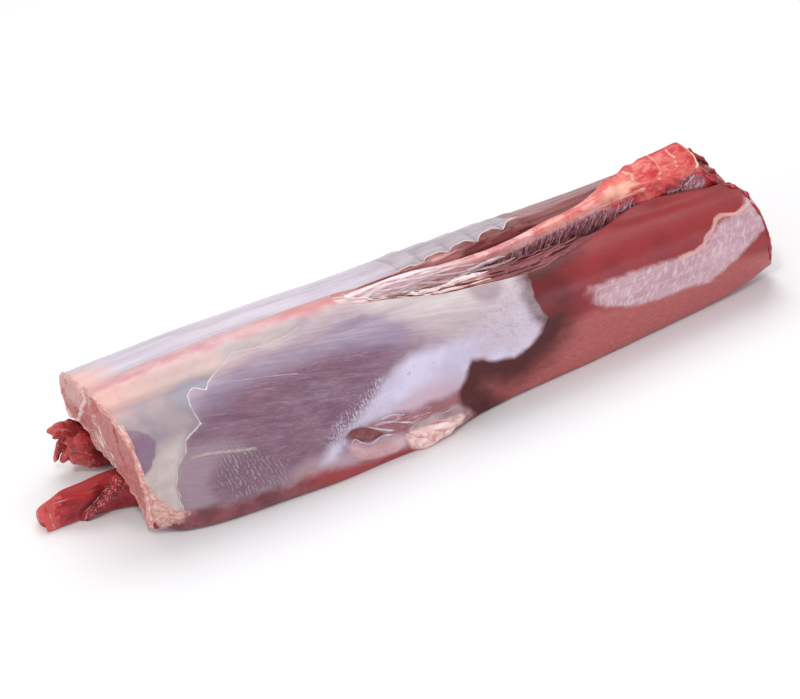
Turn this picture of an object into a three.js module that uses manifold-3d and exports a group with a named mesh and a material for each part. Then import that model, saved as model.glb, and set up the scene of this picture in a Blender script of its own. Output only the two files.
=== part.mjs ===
// A bone-in saddle of roe deer, lying as it does on a table: the two loins over the backbone,
// under a silver skin that has split along the shoulder half, with both tenderloins underneath.
// Millimetres, +Z up. X runs along the backbone from the hip cut to the shoulder cut, and the side
// at -Y is called the near side. A section is an outline of [y, z] corners that changes with s, the
// distance from the hip cut, and runs from the top over the near side, the underside and the far side.
import * as THREE from 'three';
import { LoftGeometry } from 'three/addons/geometries/LoftGeometry.js';
import { mergeVertices } from 'three/addons/utils/BufferGeometryUtils.js';
import Module from 'manifold-3d';

const wasm = await Module();
wasm.setup();

// Driving dimensions
const saddleLength = 437; // hip cut to shoulder cut, low on the near side
const blockEnd = 420; // where the tall shoulder spines are sawn off
const tenderloinEnd = 190;
const nearTip = -49; // the near tenderloin sticks out of the hip end this far
const farTip = -12;
const hipSlant = 0.13; // the hip cut runs back this far for each millimetre towards the near side
const hipSlantReach = 70;
const shoulderLean = 0.2; // the shoulder cut runs back this far for each millimetre of height
const shoulderLeanFrom = 30;
const shoulderLeanReach = 60;
const vertebraPitch = 33;
const gap = 0.35; // between pieces that touch
const steps = 44; // sections along the saddle
const perCorner = 2; // points of a rounded outline for each of its corners

// A smooth curve through stations [s, value].
function along(...stations) {
  const last = stations.length - 1;
  const slope = (i) => {
    const [s0, v0] = stations[Math.max(i - 1, 0)];
    const [s1, v1] = stations[Math.min(i + 1, last)];
    return (v1 - v0) / (s1 - s0);
  };
  return (s) => {
    let i = 0;
    while (i < last - 1 && s > stations[i + 1][0]) i += 1;
    const [s0, v0] = stations[i];
    const [s1, v1] = stations[i + 1];
    const span = s1 - s0;
    const t = THREE.MathUtils.clamp((s - s0) / span, 0, 1);
    const t2 = t * t;
    const t3 = t2 * t;
    return (2 * t3 - 3 * t2 + 1) * v0 + (t3 - 2 * t2 + t) * span * slope(i)
      + (3 * t2 - 2 * t3) * v1 + (t3 - t2) * span * slope(i + 1);
  };
}

const hump = (s, middle, reach) => Math.exp(-(((s - middle) / reach) ** 2));

// The near foot stands out furthest by the loin's thickest part, with a lump of fat left on its edge.
const trimFat = { at: 180, reach: 20, size: 3 };
const nearFootY = along([0, 52], [18, 61], [48, 67], [120, 72], [180, 68], [240, 61], [340, 54], [437, 46]);

// Each side has the oval of its loin, the foot of its flank, and the lip of skin beside the backbone.
// A side's y is measured outwards from the middle.
const nearSide = {
  loinY: along([0, 28], [60, 30], [200, 32], [300, 31], [437, 31]),
  loinZ: along([0, 50], [100, 49], [250, 48], [330, 46], [437, 42]),
  loinReach: along([0, 30], [100, 31], [200, 31], [300, 28], [380, 24], [437, 22]),
  loinRise: along([0, 27], [80, 28], [250, 27], [330, 26], [437, 24]),
  footY: (s) => nearFootY(s) + trimFat.size * hump(s, trimFat.at, trimFat.reach),
  footZ: along([0, 4], [20, 0], [400, 0], [437, 9]),
  sole: along([0, 3], [40, 10], [400, 12], [437, 8]),
  lipY: along([0, 7], [150, 7], [190, 12], [224, 15], [300, 14], [345, 13], [372, 11], [437, 11]),
  lipZ: along(
    [0, 78.5], [60, 80], [150, 79], [178, 76], [224, 67], [260, 63], [300, 61], [350, 69], [380, 72], [437, 62],
  ),
  archZ: along([0, 25], [60, 26], [437, 24]),
};
const farSide = {
  loinY: along([0, 24], [60, 23], [260, 22], [437, 22]),
  loinZ: along([0, 48], [60, 48], [200, 46], [437, 44]),
  loinReach: along([0, 29], [60, 30], [250, 30], [437, 28]),
  loinRise: along([0, 25], [60, 27], [120, 26], [260, 24], [437, 23]),
  footY: along([0, 51], [40, 56], [120, 60], [250, 60], [437, 52]),
  footZ: along([0, 33], [32, 12], [60, 0], [437, 0]),
  sole: along([0, 2], [60, 10], [437, 12]),
  lipY: along([0, 7], [150, 7], [200, 8], [286, 9], [320, 11], [360, 14], [437, 14]),
  lipZ: along([0, 77], [60, 79], [150, 77], [226, 74], [286, 75], [312, 70], [350, 66], [437, 62]),
  archZ: along([0, 36], [60, 27], [437, 24]),
};
const ridgeZ = along([0, 78], [60, 80], [150, 79], [172, 75], [192, 62], [230, 52], [437, 48]);
const keelZ = along([0, 32], [60, 25], [437, 24]); // under the backbone

function sideOutline(side, s) {
  const [y, z, reach, rise] = [side.loinY(s), side.loinZ(s), side.loinReach(s), side.loinRise(s)];
  const [footY, footZ, sole, archZ] = [side.footY(s), side.footZ(s), side.sole(s), side.archZ(s)];
  return [
    [side.lipY(s), side.lipZ(s)],
    [y - 0.35 * reach, z + 0.95 * rise],
    [y + 0.15 * reach, z + rise],
    [y + 0.72 * reach, z + 0.72 * rise],
    [y + reach, z],
    [(y + reach + footY) / 2, footZ + 0.45 * (z - footZ)],
    [footY, footZ + 5],
    [footY - 3, footZ],
    [footY - 3 - sole, footZ],
    [footY - 8 - sole, footZ + 0.45 * (archZ - footZ)],
    [footY - 20 - sole, archZ],
  ];
}

function bodyOutline(s) {
  const near = sideOutline(nearSide, s).map(([y, z]) => [-y, z]);
  const far = sideOutline(farSide, s).reverse();
  return [[0, ridgeZ(s)], ...near, [0, keelZ(s)], ...far];
}

// The backbone: vertebrae that swell once each, under a row of spines. The spines make a thin blade
// that comes out of the split skin and widens to a block, tilted to the near side, at the shoulder end.
const bladeTopZ = along(
  [0, 73], [60, 74], [140, 75], [180, 76], [203, 74], [230, 70], [252, 69], [278, 70],
  [305, 73], [330, 76], [350, 80], [372, 82.5], [blockEnd - 4, 83.5], [blockEnd + 2, 79], [437, 58],
);
const bladeHalf = along([0, 3], [190, 3.2], [300, 4], [335, 5], [352, 8], [374, 11], [437, 11]);
const bladeY = along([0, 0], [330, 0], [372, 2], [437, 3]);
const bladeTilt = along([0, 0], [330, 0], [372, 0.35], [blockEnd, 0.35], [437, 0]);
const bladeFootZ = along([0, 58], [180, 60], [240, 54], [300, 54], [345, 64], [380, 68], [437, 50]);
const vertebraBottomZ = along([0, 33], [60, 21], [437, 19]);

function backboneOutline(s) {
  const [top, half, middle, foot] = [bladeTopZ(s), bladeHalf(s), bladeY(s), bladeFootZ(s)];
  const rise = half * bladeTilt(s);
  const swell = 1.5 * Math.cos((2 * Math.PI * s) / vertebraPitch);
  const vertebraHalf = 14 + swell;
  const bottom = vertebraBottomZ(s) - swell;
  const side = (sign) => [
    [middle + sign * half * 0.8, top + sign * rise],
    [middle + sign * half, top - 3 + sign * rise],
    [middle + sign * (half + 1.5), foot],
    [sign * 6, 47],
    [sign * vertebraHalf, 39],
    [sign * vertebraHalf, 30],
    [sign * 7, bottom],
  ];
  return [[middle, top + 0.5], ...side(-1), [0, bottom - 1], ...side(1).reverse()];
}

// The tenderloins: tapering straps of muscle under the loins. The near one leans where it sticks out.
const nearTenderloin = {
  y: along([nearTip, -5], [-20, -10], [0, -15], [40, -27], [70, -30], [tenderloinEnd, -29]),
  half: along([nearTip, 8], [-38, 12], [-10, 14], [40, 13], [120, 12], [tenderloinEnd, 5]),
  bottom: along([nearTip, 2], [-40, 0], [tenderloinEnd, 0]),
  height: along(
    [nearTip, 10], [-38, 15], [-20, 19], [0, 22.5], [40, 25], [120, 22], [tenderloinEnd, 10],
  ),
  lean: along([nearTip, 0.25], [0, 0.2], [60, 0], [tenderloinEnd, 0]),
};
const farTenderloin = {
  y: along([farTip, 34], [0, 31], [30, 28], [60, 27], [tenderloinEnd, 28]),
  half: along([farTip, 11], [0, 12], [30, 11], [60, 11], [tenderloinEnd, 5]),
  bottom: along([farTip, 5], [10, 3], [50, 0], [tenderloinEnd, 0]),
  height: along([farTip, 25], [0, 27], [30, 23], [60, 23], [120, 22], [tenderloinEnd, 10]),
  lean: () => 0,
};

function tenderloinOutline(strap, s) {
  const [y, half, low, tall] = [strap.y(s), strap.half(s), strap.bottom(s), strap.height(s)];
  const lean = strap.lean(s) * half;
  return [
    [y + lean, low + tall],
    [y + lean - 0.6 * half, low + 0.86 * tall],
    [y - half, low + 0.42 * tall],
    [y - 0.8 * half, low + 0.08 * tall],
    [y - 0.5 * half, low],
    [y + 0.5 * half, low],
    [y + 0.85 * half, low + 0.12 * tall],
    [y + half, low + 0.5 * tall],
    [y + lean + 0.7 * half, low + 0.85 * tall],
  ];
}

// A horn is a finger of torn meat at the far tenderloin's tip, from a thin end to a thick root.
const hornRoot = farTip + 8;
const hornEndRadius = 2;
const hornSides = 7;
function hornOutline(horn, s) {
  const t = (s - horn.tip) / (hornRoot - horn.tip);
  const y = THREE.MathUtils.lerp(horn.tipY, horn.rootY, t);
  const z = THREE.MathUtils.lerp(horn.tipZ, horn.rootZ, t);
  const radius = THREE.MathUtils.lerp(hornEndRadius, horn.rootRadius, Math.sqrt(t));
  return Array.from({ length: hornSides }, (_, i) => {
    const angle = (2 * Math.PI * i) / hornSides;
    return [y - radius * Math.sin(angle), z + radius * Math.cos(angle)];
  });
}
const horns = [
  { tip: -21, tipY: 45, tipZ: 29, rootY: 36, rootZ: 23, rootRadius: 9 },
  { tip: -25, tipY: 34, tipZ: 12, rootY: 32, rootZ: 13, rootRadius: 9 },
];

// An outline with its corners moved out by a distance, square to it.
function grown(outline, distance) {
  return outline.map(([y, z], i) => {
    const [y0, z0] = outline.at(i - 1);
    const [y1, z1] = outline[(i + 1) % outline.length];
    const length = Math.hypot(y1 - y0, z1 - z0);
    return [y + (distance * (z1 - z0)) / length, z - (distance * (y1 - y0)) / length];
  });
}

// How far a point moves along the saddle, because the cuts at both ends run askew.
function askew(s, y, z) {
  const hip = hipSlant * Math.max(0, 1 - Math.max(s, 0) / hipSlantReach);
  const shoulder = shoulderLean * Math.max(0, 1 - (saddleLength - s) / shoulderLeanReach);
  return shoulder * (shoulderLeanFrom - z) - hip * y;
}

// One rounded section. What would sink below the table is pressed flat on it.
function section(outline, s, pointsPerCorner) {
  const corners = outline.map(([y, z]) => new THREE.Vector3(0, y, z));
  const curve = new THREE.CatmullRomCurve3(corners, true, 'centripetal');
  const count = outline.length * pointsPerCorner;
  return Array.from({ length: count }, (_, i) => {
    const p = curve.getPoint(i / count);
    return new THREE.Vector3(s + askew(s, p.y, p.z), p.y, Math.max(p.z, 0));
  });
}

// A closed solid through the sections of an outline that changes along s.
function loft(outlineAt, from, to, count, pointsPerCorner = perCorner) {
  const sections = Array.from({ length: count + 1 }, (_, i) => {
    const s = from + ((to - from) * i) / count;
    return section(outlineAt(s), s, pointsPerCorner);
  });
  const lofted = new LoftGeometry(sections, { capStart: true, capEnd: true });
  const skin = new THREE.BufferGeometry()
    .setAttribute('position', lofted.attributes.position)
    .setIndex(lofted.index);
  const merged = mergeVertices(skin, 1e-3);
  return new wasm.Manifold(new wasm.Mesh({
    numProp: 3,
    vertProperties: merged.attributes.position.array,
    triVerts: new Uint32Array(merged.index.array),
  }));
}

function makeLoins() {
  const step = saddleLength / steps;
  const channel = loft((s) => grown(backboneOutline(s), gap), -step, saddleLength + step, steps + 2);
  return loft(bodyOutline, 0, saddleLength, steps).subtract(channel);
}

function makeBackbone() {
  return loft(backboneOutline, 0, saddleLength, steps);
}

function makeNearTenderloin() {
  return loft((s) => tenderloinOutline(nearTenderloin, s), nearTip, tenderloinEnd, 26);
}

function makeFarTenderloin() {
  const strap = loft((s) => tenderloinOutline(farTenderloin, s), farTip, tenderloinEnd, 22);
  return horns.reduce(
    (solid, horn) => solid.add(loft((s) => hornOutline(horn, s), horn.tip, hornRoot, 4, 1)),
    strap,
  );
}

const meat = new THREE.Group();
function addPiece(name, solid, color, roughness) {
  const { vertProperties, triVerts } = solid.getMesh();
  const geometry = new THREE.BufferGeometry()
    .setAttribute('position', new THREE.BufferAttribute(new Float32Array(vertProperties), 3))
    .setIndex(new THREE.BufferAttribute(new Uint32Array(triVerts), 1));
  const piece = new THREE.Mesh(geometry, new THREE.MeshStandardMaterial({ color, roughness, metalness: 0 }));
  piece.name = name;
  meat.add(piece);
}

addPiece('loins', makeLoins(), 0x94768c, 0.35);
addPiece('backbone', makeBackbone(), 0xd9847a, 0.4);
addPiece('tenderloin_near', makeNearTenderloin(), 0xa03a3c, 0.3);
addPiece('tenderloin_far', makeFarTenderloin(), 0xa03a3c, 0.3);

// The frame's origin is on the table, under the middle of the whole saddle.
const box = new THREE.Box3().setFromObject(meat);
meat.position.set(-(box.min.x + box.max.x) / 2, -(box.min.y + box.max.y) / 2, 0);

const saddle = new THREE.Group();
saddle.add(meat);

export default saddle;
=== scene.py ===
"""A bone-in saddle of roe deer, raw and wet, on a pale studio floor.

The form is worked out in millimetres from the middle of the hip cut: s runs along the saddle to the
shoulder cut, y out to the far side and z up from the table. A section is an outline of corners that
changes with s, as in the frame, and every surface is that outline drawn finely, with its relief.
Places on the skin are given as s and the distance round the section from the ridge.
"""

import itertools
import math

import bmesh
import bpy
import numpy as np
from mathutils import Matrix, Vector


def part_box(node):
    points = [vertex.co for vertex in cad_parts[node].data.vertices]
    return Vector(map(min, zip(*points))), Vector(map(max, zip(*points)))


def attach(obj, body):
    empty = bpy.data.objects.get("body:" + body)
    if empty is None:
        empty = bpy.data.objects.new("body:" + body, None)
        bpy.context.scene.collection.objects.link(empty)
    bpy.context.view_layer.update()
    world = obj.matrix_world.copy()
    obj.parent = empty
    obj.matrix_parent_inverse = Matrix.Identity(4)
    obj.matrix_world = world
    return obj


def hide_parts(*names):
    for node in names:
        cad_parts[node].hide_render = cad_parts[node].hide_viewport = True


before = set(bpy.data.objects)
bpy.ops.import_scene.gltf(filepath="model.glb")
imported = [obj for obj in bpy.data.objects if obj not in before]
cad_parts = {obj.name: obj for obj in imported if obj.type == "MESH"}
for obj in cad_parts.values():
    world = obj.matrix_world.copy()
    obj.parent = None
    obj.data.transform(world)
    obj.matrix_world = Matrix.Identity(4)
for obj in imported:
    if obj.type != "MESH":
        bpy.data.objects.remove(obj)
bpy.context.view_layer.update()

# Driving dimensions, in millimetres
SADDLE_LENGTH = 437
BLOCK_END = 420
TENDERLOIN_END = 190
NEAR_TIP = -49
FAR_TIP = -12
HIP_SLANT = 0.13
HIP_SLANT_REACH = 70
SHOULDER_LEAN = 0.2
SHOULDER_LEAN_FROM = 30
SHOULDER_LEAN_REACH = 60
VERTEBRA_PITCH = 33
SCALLOP_PITCH = 20
MM = 0.001

# Where things start and end along the saddle, in millimetres from the hip cut
SLIT_START = 156
SLIT_OPENS = 158
SLIT_OPEN = 180
TENDONS_START = 160
TENDONS_END = 252
FOLDS_START = 200
FOLDS_END = 300
FAR_SKIN_END = 298
CAP_START = 236
WALL_START = 238
CORAL_START = 296
BLOCK_START = 335
BLOCK_WHOLE = 352
BLOCK_TORN_END = 421

# Folds of the far skin, the canal in the bone, the crease in the near tenderloin and loose strands
FOLD_AT = 206
FOLD_LEAN = 0.35
FOLD_MIDDLE = 36
CANAL_RADIUS = 4.5
CANAL_HEIGHT = 41
CREASE_FOOT = 25
CREASE_SLOPE = 1.1
STRAND_TAPER = 2.5
STRAND_LIFT = 0.6

# How finely each surface is drawn: rows along it, columns on a side, and rows that close each end
LOIN_ROWS = 262
LOIN_NEAR_COLUMNS = 92
LOIN_FAR_COLUMNS = 62
LOIN_END_ROWS = 22
BACKBONE_ROWS = 300
BACKBONE_COLUMNS = 52
BACKBONE_END_ROWS = 14
TENDERLOIN_ROWS = 190
TENDERLOIN_COLUMNS = 40
TENDERLOIN_END_ROWS = 12
LIMB_ROWS = 34
LIMB_SIDES = 26
STRAND_SIDES = 8
STRAND_LEAST_ROWS = 8
OUTLINE_SAMPLES = 400
NOWHERE = -9  # what a zone's field is where the zone can't be

backbone_low, backbone_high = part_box("backbone")
HALF_BACKBONE = (backbone_high.y - backbone_low.y) / 2
HIP_MIDDLE = np.array([
    backbone_low.x + HIP_SLANT * HALF_BACKBONE, (backbone_low.y + backbone_high.y) / 2, 0.0,
])


# Curves and noise
def along(*stations):
    """A smooth curve through stations (s, value)."""
    at, value = np.array(stations, float).T
    slope = np.empty_like(value)
    slope[0] = (value[1] - value[0]) / (at[1] - at[0])
    slope[-1] = (value[-1] - value[-2]) / (at[-1] - at[-2])
    slope[1:-1] = (value[2:] - value[:-2]) / (at[2:] - at[:-2])

    def curve(s):
        s = np.asarray(s, float)
        i = np.clip(np.searchsorted(at, s) - 1, 0, len(at) - 2)
        span = at[i + 1] - at[i]
        t = np.clip((s - at[i]) / span, 0, 1)
        return (
            (2 * t**3 - 3 * t**2 + 1) * value[i] + (t**3 - 2 * t**2 + t) * span * slope[i]
            + (3 * t**2 - 2 * t**3) * value[i + 1] + (t**3 - t**2) * span * slope[i + 1]
        )

    return curve


def hump(s, middle, reach):
    """1 at the middle, falling smoothly to almost nothing at twice the reach."""
    return np.exp(-(((s - middle) / reach) ** 2))


def step(value, start, end):
    """0 at start, 1 at end, smooth between them."""
    t = np.clip((value - start) / (end - start), 0, 1)
    return t * t * (3 - 2 * t)


HASH_PRIMES = np.array([73856093, 19349663, 83492791], np.int64)
HASH_SEED_PRIME = 7919
HASH_FACTOR = 1274126177
HASH_MASK = 0xFFFF
CELLS_FROM_START = 500  # keeps the numbers of the cells above nothing


def rough(points, size, seed=0):
    """Noise from -1 to 1 at points in mm. Its lumps are about size mm across, one size or one an axis."""
    cell = points / np.asarray(size, float) + CELLS_FROM_START
    base = np.floor(cell).astype(np.int64)
    t = cell - base
    t = t * t * (3 - 2 * t)
    total = np.zeros(points.shape[:-1])
    for corner in itertools.product((0, 1), repeat=3):
        corner = np.array(corner)
        key = ((base + corner) * HASH_PRIMES).sum(-1) + seed * HASH_SEED_PRIME
        key = (key ^ (key >> 13)) * HASH_FACTOR
        value = ((key ^ (key >> 16)) & HASH_MASK) / (HASH_MASK / 2) - 1
        total += value * np.prod(np.where(corner, t, 1 - t), axis=-1)
    return total


def inside(s, arc, corners):
    """How far places on the skin lie inside an outline of (s, arc) corners, in mm; outside is negative."""
    corners = np.array(corners, float)
    distance = np.full(s.shape, 1e6)
    within = np.zeros(s.shape, bool)
    for (s0, a0), (s1, a1) in zip(corners, np.roll(corners, -1, 0)):
        ds, da = s1 - s0, a1 - a0
        t = np.clip(((s - s0) * ds + (arc - a0) * da) / (ds * ds + da * da), 0, 1)
        distance = np.minimum(distance, np.hypot(s - s0 - t * ds, arc - a0 - t * da))
        if da:
            within ^= ((a0 > arc) != (a1 > arc)) & (s < s0 + ds * (arc - a0) / da)
    return np.where(within, distance, -distance)


def beside(y, z, line):
    """The distance in mm from places to a line of corners. Both are given in the same two measures."""
    line = np.array(line, float)
    distance = np.full(y.shape, 1e6)
    for (y0, z0), (y1, z1) in zip(line[:-1], line[1:]):
        dy, dz = y1 - y0, z1 - z0
        t = np.clip(((y - y0) * dy + (z - z0) * dz) / (dy * dy + dz * dz), 0, 1)
        distance = np.minimum(distance, np.hypot(y - y0 - t * dy, z - z0 - t * dz))
    return distance


# Sections, with the corners that the frame has
TRIM_FAT = {"at": 180, "reach": 20, "size": 3}
near_foot_y = along(
    (0, 52), (18, 61), (48, 67), (120, 72), (180, 68), (240, 61), (340, 54), (437, 46),
)
NEAR_SIDE = {
    "loin_y": along((0, 28), (60, 30), (200, 32), (300, 31), (437, 31)),
    "loin_z": along((0, 50), (100, 49), (250, 48), (330, 46), (437, 42)),
    "loin_reach": along((0, 30), (100, 31), (200, 31), (300, 28), (380, 24), (437, 22)),
    "loin_rise": along((0, 27), (80, 28), (250, 27), (330, 26), (437, 24)),
    "foot_y": lambda s: near_foot_y(s) + TRIM_FAT["size"] * hump(s, TRIM_FAT["at"], TRIM_FAT["reach"]),
    "foot_z": along((0, 4), (20, 0), (400, 0), (437, 9)),
    "sole": along((0, 3), (40, 10), (400, 12), (437, 8)),
    "lip_y": along(
        (0, 7), (150, 7), (190, 12), (224, 15), (300, 14), (345, 13), (372, 11), (437, 11),
    ),
    "lip_z": along(
        (0, 78.5), (60, 80), (150, 79), (178, 76), (224, 67), (260, 63), (300, 61), (350, 69),
        (380, 72), (437, 62),
    ),
    "arch_z": along((0, 25), (60, 26), (437, 24)),
}
FAR_SIDE = {
    "loin_y": along((0, 24), (60, 23), (260, 22), (437, 22)),
    "loin_z": along((0, 48), (60, 48), (200, 46), (437, 44)),
    "loin_reach": along((0, 29), (60, 30), (250, 30), (437, 28)),
    "loin_rise": along((0, 25), (60, 27), (120, 26), (260, 24), (437, 23)),
    "foot_y": along((0, 51), (40, 56), (120, 60), (250, 60), (437, 52)),
    "foot_z": along((0, 33), (32, 12), (60, 0), (437, 0)),
    "sole": along((0, 2), (60, 10), (437, 12)),
    "lip_y": along((0, 7), (150, 7), (200, 8), (286, 9), (320, 11), (360, 14), (437, 14)),
    "lip_z": along(
        (0, 77), (60, 79), (150, 77), (226, 74), (286, 75), (312, 70), (350, 66), (437, 62),
    ),
    "arch_z": along((0, 36), (60, 27), (437, 24)),
}
ridge_z = along((0, 78), (60, 80), (150, 79), (172, 75), (192, 62), (230, 52), (437, 48))
keel_z = along((0, 32), (60, 25), (437, 24))
FOOT_MIDDLE = 8.5  # the outline's corner number at the middle of the near sole
KEEL = 12
FAR_FOOT_MIDDLE = 15.5
CORNERS = 24


def pairs(s, *corners):
    """Corners (y, z), each a number or its values at every s, as one array (rows, corners, 2)."""
    return np.stack([np.stack([y + 0 * s, z + 0 * s], -1) for y, z in corners], 1)


def side_outline(side, s, sign):
    """One side's corners, from the lip by the ridge over the loin and flank to the arch under the body."""
    y, z, reach, rise = (side[k](s) for k in ("loin_y", "loin_z", "loin_reach", "loin_rise"))
    foot_y, foot_z, sole, arch_z = (side[k](s) for k in ("foot_y", "foot_z", "sole", "arch_z"))
    corners = [
        (side["lip_y"](s), side["lip_z"](s)),
        (y - 0.35 * reach, z + 0.95 * rise),
        (y + 0.15 * reach, z + rise),
        (y + 0.72 * reach, z + 0.72 * rise),
        (y + reach, z),
        ((y + reach + foot_y) / 2, foot_z + 0.45 * (z - foot_z)),
        (foot_y, foot_z + 5),
        (foot_y - 3, foot_z),
        (foot_y - 3 - sole, foot_z),
        (foot_y - 8 - sole, foot_z + 0.45 * (arch_z - foot_z)),
        (foot_y - 20 - sole, arch_z),
    ]
    return [(sign * a, b) for a, b in corners]


def body_outline(s):
    near = side_outline(NEAR_SIDE, s, -1)
    far = side_outline(FAR_SIDE, s, 1)[::-1]
    return pairs(s, (0, ridge_z(s)), *near, (0, keel_z(s)), *far)


blade_top_z = along(
    (0, 73), (60, 74), (140, 75), (180, 76), (203, 74), (230, 70), (252, 69), (278, 70), (305, 73),
    (330, 76), (350, 80), (372, 82.5), (BLOCK_END - 4, 83.5), (BLOCK_END + 2, 79), (437, 58),
)
blade_half = along((0, 3), (190, 3.2), (300, 4), (335, 5), (352, 8), (374, 11), (437, 11))
blade_y = along((0, 0), (330, 0), (372, 2), (437, 3))
blade_tilt = along((0, 0), (330, 0), (372, 0.35), (BLOCK_END, 0.35), (437, 0))
blade_foot_z = along(
    (0, 58), (180, 60), (240, 54), (300, 54), (345, 64), (380, 68), (437, 50),
)
vertebra_bottom_z = along((0, 33), (60, 21), (437, 19))


def backbone_outline(s):
    top, half, middle, foot = blade_top_z(s), blade_half(s), blade_y(s), blade_foot_z(s)
    rise = half * blade_tilt(s)
    swell = 1.5 * np.cos(2 * math.pi * s / VERTEBRA_PITCH)
    vertebra_half = 14 + swell
    bottom = vertebra_bottom_z(s) - swell

    def side(sign):
        return [
            (middle + sign * half * 0.8, top + sign * rise),
            (middle + sign * half, top - 3 + sign * rise),
            (middle + sign * (half + 1.5), foot),
            (sign * 6, 47),
            (sign * vertebra_half, 39),
            (sign * vertebra_half, 30),
            (sign * 7, bottom),
        ]

    return pairs(s, (middle, top + 0.5), *side(-1), (0, bottom - 1), *side(1)[::-1])


NEAR_TENDERLOIN = {
    "back": along((NEAR_TIP, -3), (-31, -1), (-19, -2), (-4, -4), (40, -15), (TENDERLOIN_END, -25)),
    "front": along(
        (NEAR_TIP, -6), (-42, -6.5), (-29, -13), (-20, -18.5), (-5, -19), (40, -37), (TENDERLOIN_END, -33),
    ),
    "front_low": along(
        (NEAR_TIP, -12), (-21, -14), (-9, -16), (0, -20), (40, -38), (TENDERLOIN_END, -33),
    ),
    "back_low": along((NEAR_TIP, 3), (-20, 2), (0, 0), (40, -15), (TENDERLOIN_END, -25)),
    "low": along((NEAR_TIP, 0), (TENDERLOIN_END, 0)),
    "high": along(
        (NEAR_TIP, 16), (-40, 18.5), (-20, 20), (0, 22.5), (40, 25), (120, 22), (TENDERLOIN_END, 10),
    ),
}
FAR_TENDERLOIN = {
    "back": along((FAR_TIP, 42), (30, 39), (60, 38), (TENDERLOIN_END, 32)),
    "front": along((FAR_TIP, 28), (30, 18), (60, 17), (TENDERLOIN_END, 24)),
    "front_low": along((FAR_TIP, 27), (30, 17), (60, 16), (TENDERLOIN_END, 24)),
    "back_low": along((FAR_TIP, 43), (30, 39), (60, 38), (TENDERLOIN_END, 32)),
    "low": along((FAR_TIP, 5), (10, 3), (50, 0), (TENDERLOIN_END, 0)),
    "high": along((FAR_TIP, 28), (0, 29), (30, 25), (60, 23), (120, 22), (TENDERLOIN_END, 10)),
}


def tenderloin_outline(strap, s):
    back, front, front_low, back_low, low, high = (
        strap[k](s) for k in ("back", "front", "front_low", "back_low", "low", "high")
    )
    tall = high - low
    return pairs(
        s,
        ((back + front) / 2, high + 0.6),
        (front, high - 0.6),
        ((front + front_low) / 2 - 1, low + 0.5 * tall),
        (front_low, low + 2),
        (front_low + 3, low),
        ((front_low + back_low) / 2, low),
        (back_low - 3, low),
        (back_low, low + 2),
        ((back + back_low) / 2 + 1, low + 0.5 * tall),
        (back, high - 0.6),
    )


def rounded(corners, u):
    """Points of the closed, rounded outlines through the corners, at corner numbers u."""
    count = corners.shape[1]
    i = np.floor(u).astype(int)
    w = (u - i)[None, :, None]
    before, start, end, after = (corners[:, (i + k) % count] for k in (-1, 0, 1, 2))

    def reach(a, b):
        return np.sqrt(np.linalg.norm(b - a, axis=-1, keepdims=True))

    d0, d1, d2 = reach(before, start), reach(start, end), reach(end, after)
    leave = ((start - before) / d0 - (end - before) / (d0 + d1) + (end - start) / d1) * d1
    arrive = ((end - start) / d1 - (after - start) / (d1 + d2) + (after - end) / d2) * d1
    bend = -3 * start + 3 * end - 2 * leave - arrive
    return start + w * (leave + w * (bend + w * (2 * start - 2 * end + leave + arrive)))


def askew(s, y, z):
    """How far a point moves along the saddle, because the cuts at both ends run askew."""
    hip = HIP_SLANT * np.maximum(0, 1 - np.maximum(s, 0) / HIP_SLANT_REACH)
    shoulder = SHOULDER_LEAN * np.maximum(0, 1 - (SADDLE_LENGTH - s) / SHOULDER_LEAN_REACH)
    return shoulder * (SHOULDER_LEAN_FROM - z) - hip * y


def surface(corners, s, u):
    """Points (rows, columns, 3) of a lofted skin. What would sink below the table is pressed flat on it."""
    y, z = np.moveaxis(rounded(corners, u), -1, 0)
    z = np.maximum(z, 0)
    s = np.broadcast_to(s[:, None], y.shape)
    return np.stack([s + askew(s, y, z), y, z], -1)


def even(corners, start, end, count):
    """Corner numbers that part the outline from start to end into count steps of about equal length."""
    u = np.linspace(start, end, OUTLINE_SAMPLES)
    length = np.linalg.norm(np.diff(rounded(corners, u % corners.shape[1]), axis=1), axis=-1).mean(0)
    reached = np.concatenate([[0], np.cumsum(length)])
    return np.interp(np.linspace(0, reached[-1], count + 1)[:-1], reached, u)


def outward(points):
    """Unit normals of a skin whose columns close round it."""
    lengthways = np.gradient(points, axis=0)
    around = np.roll(points, -1, 1) - np.roll(points, 1, 1)
    normal = np.cross(around, lengthways)
    return normal / np.maximum(np.linalg.norm(normal, axis=-1, keepdims=True), 1e-9)


def both_ways_round(points, turn):
    """The distance round each section from its first column, in mm. Columns past the turn count it the other
    way, below nothing."""
    closed = np.concatenate([points, points[:, :1]], 1)
    steps = np.linalg.norm(np.diff(closed[..., 1:], axis=1), axis=-1)
    reached = np.concatenate([np.zeros((len(points), 1)), np.cumsum(steps, 1)], 1)
    first_way = np.arange(points.shape[1]) <= turn
    return np.where(first_way, reached[:, :-1], reached[:, :-1] - reached[:, -1:])


def carried_on(values, count):
    """Values at the rows of a skin, the first and last ones kept for the count rows that close each end."""
    return np.concatenate([np.repeat(values[:1], count, 0), values, np.repeat(values[-1:], count, 0)])


def ends_closed(rows, partner, count):
    """The rows with both ends closed by rows that draw in to the line midway between partner columns, and how
    far each point has drawn in."""
    share = (np.arange(1, count + 1) / count)[:, None, None]

    def end(row):
        middle = (row + row[partner]) / 2
        return row + (middle - row) * share

    closed = np.concatenate([end(rows[0])[::-1], rows, end(rows[-1])])
    return closed, np.linalg.norm(closed - carried_on(rows, count), axis=-1)


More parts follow.
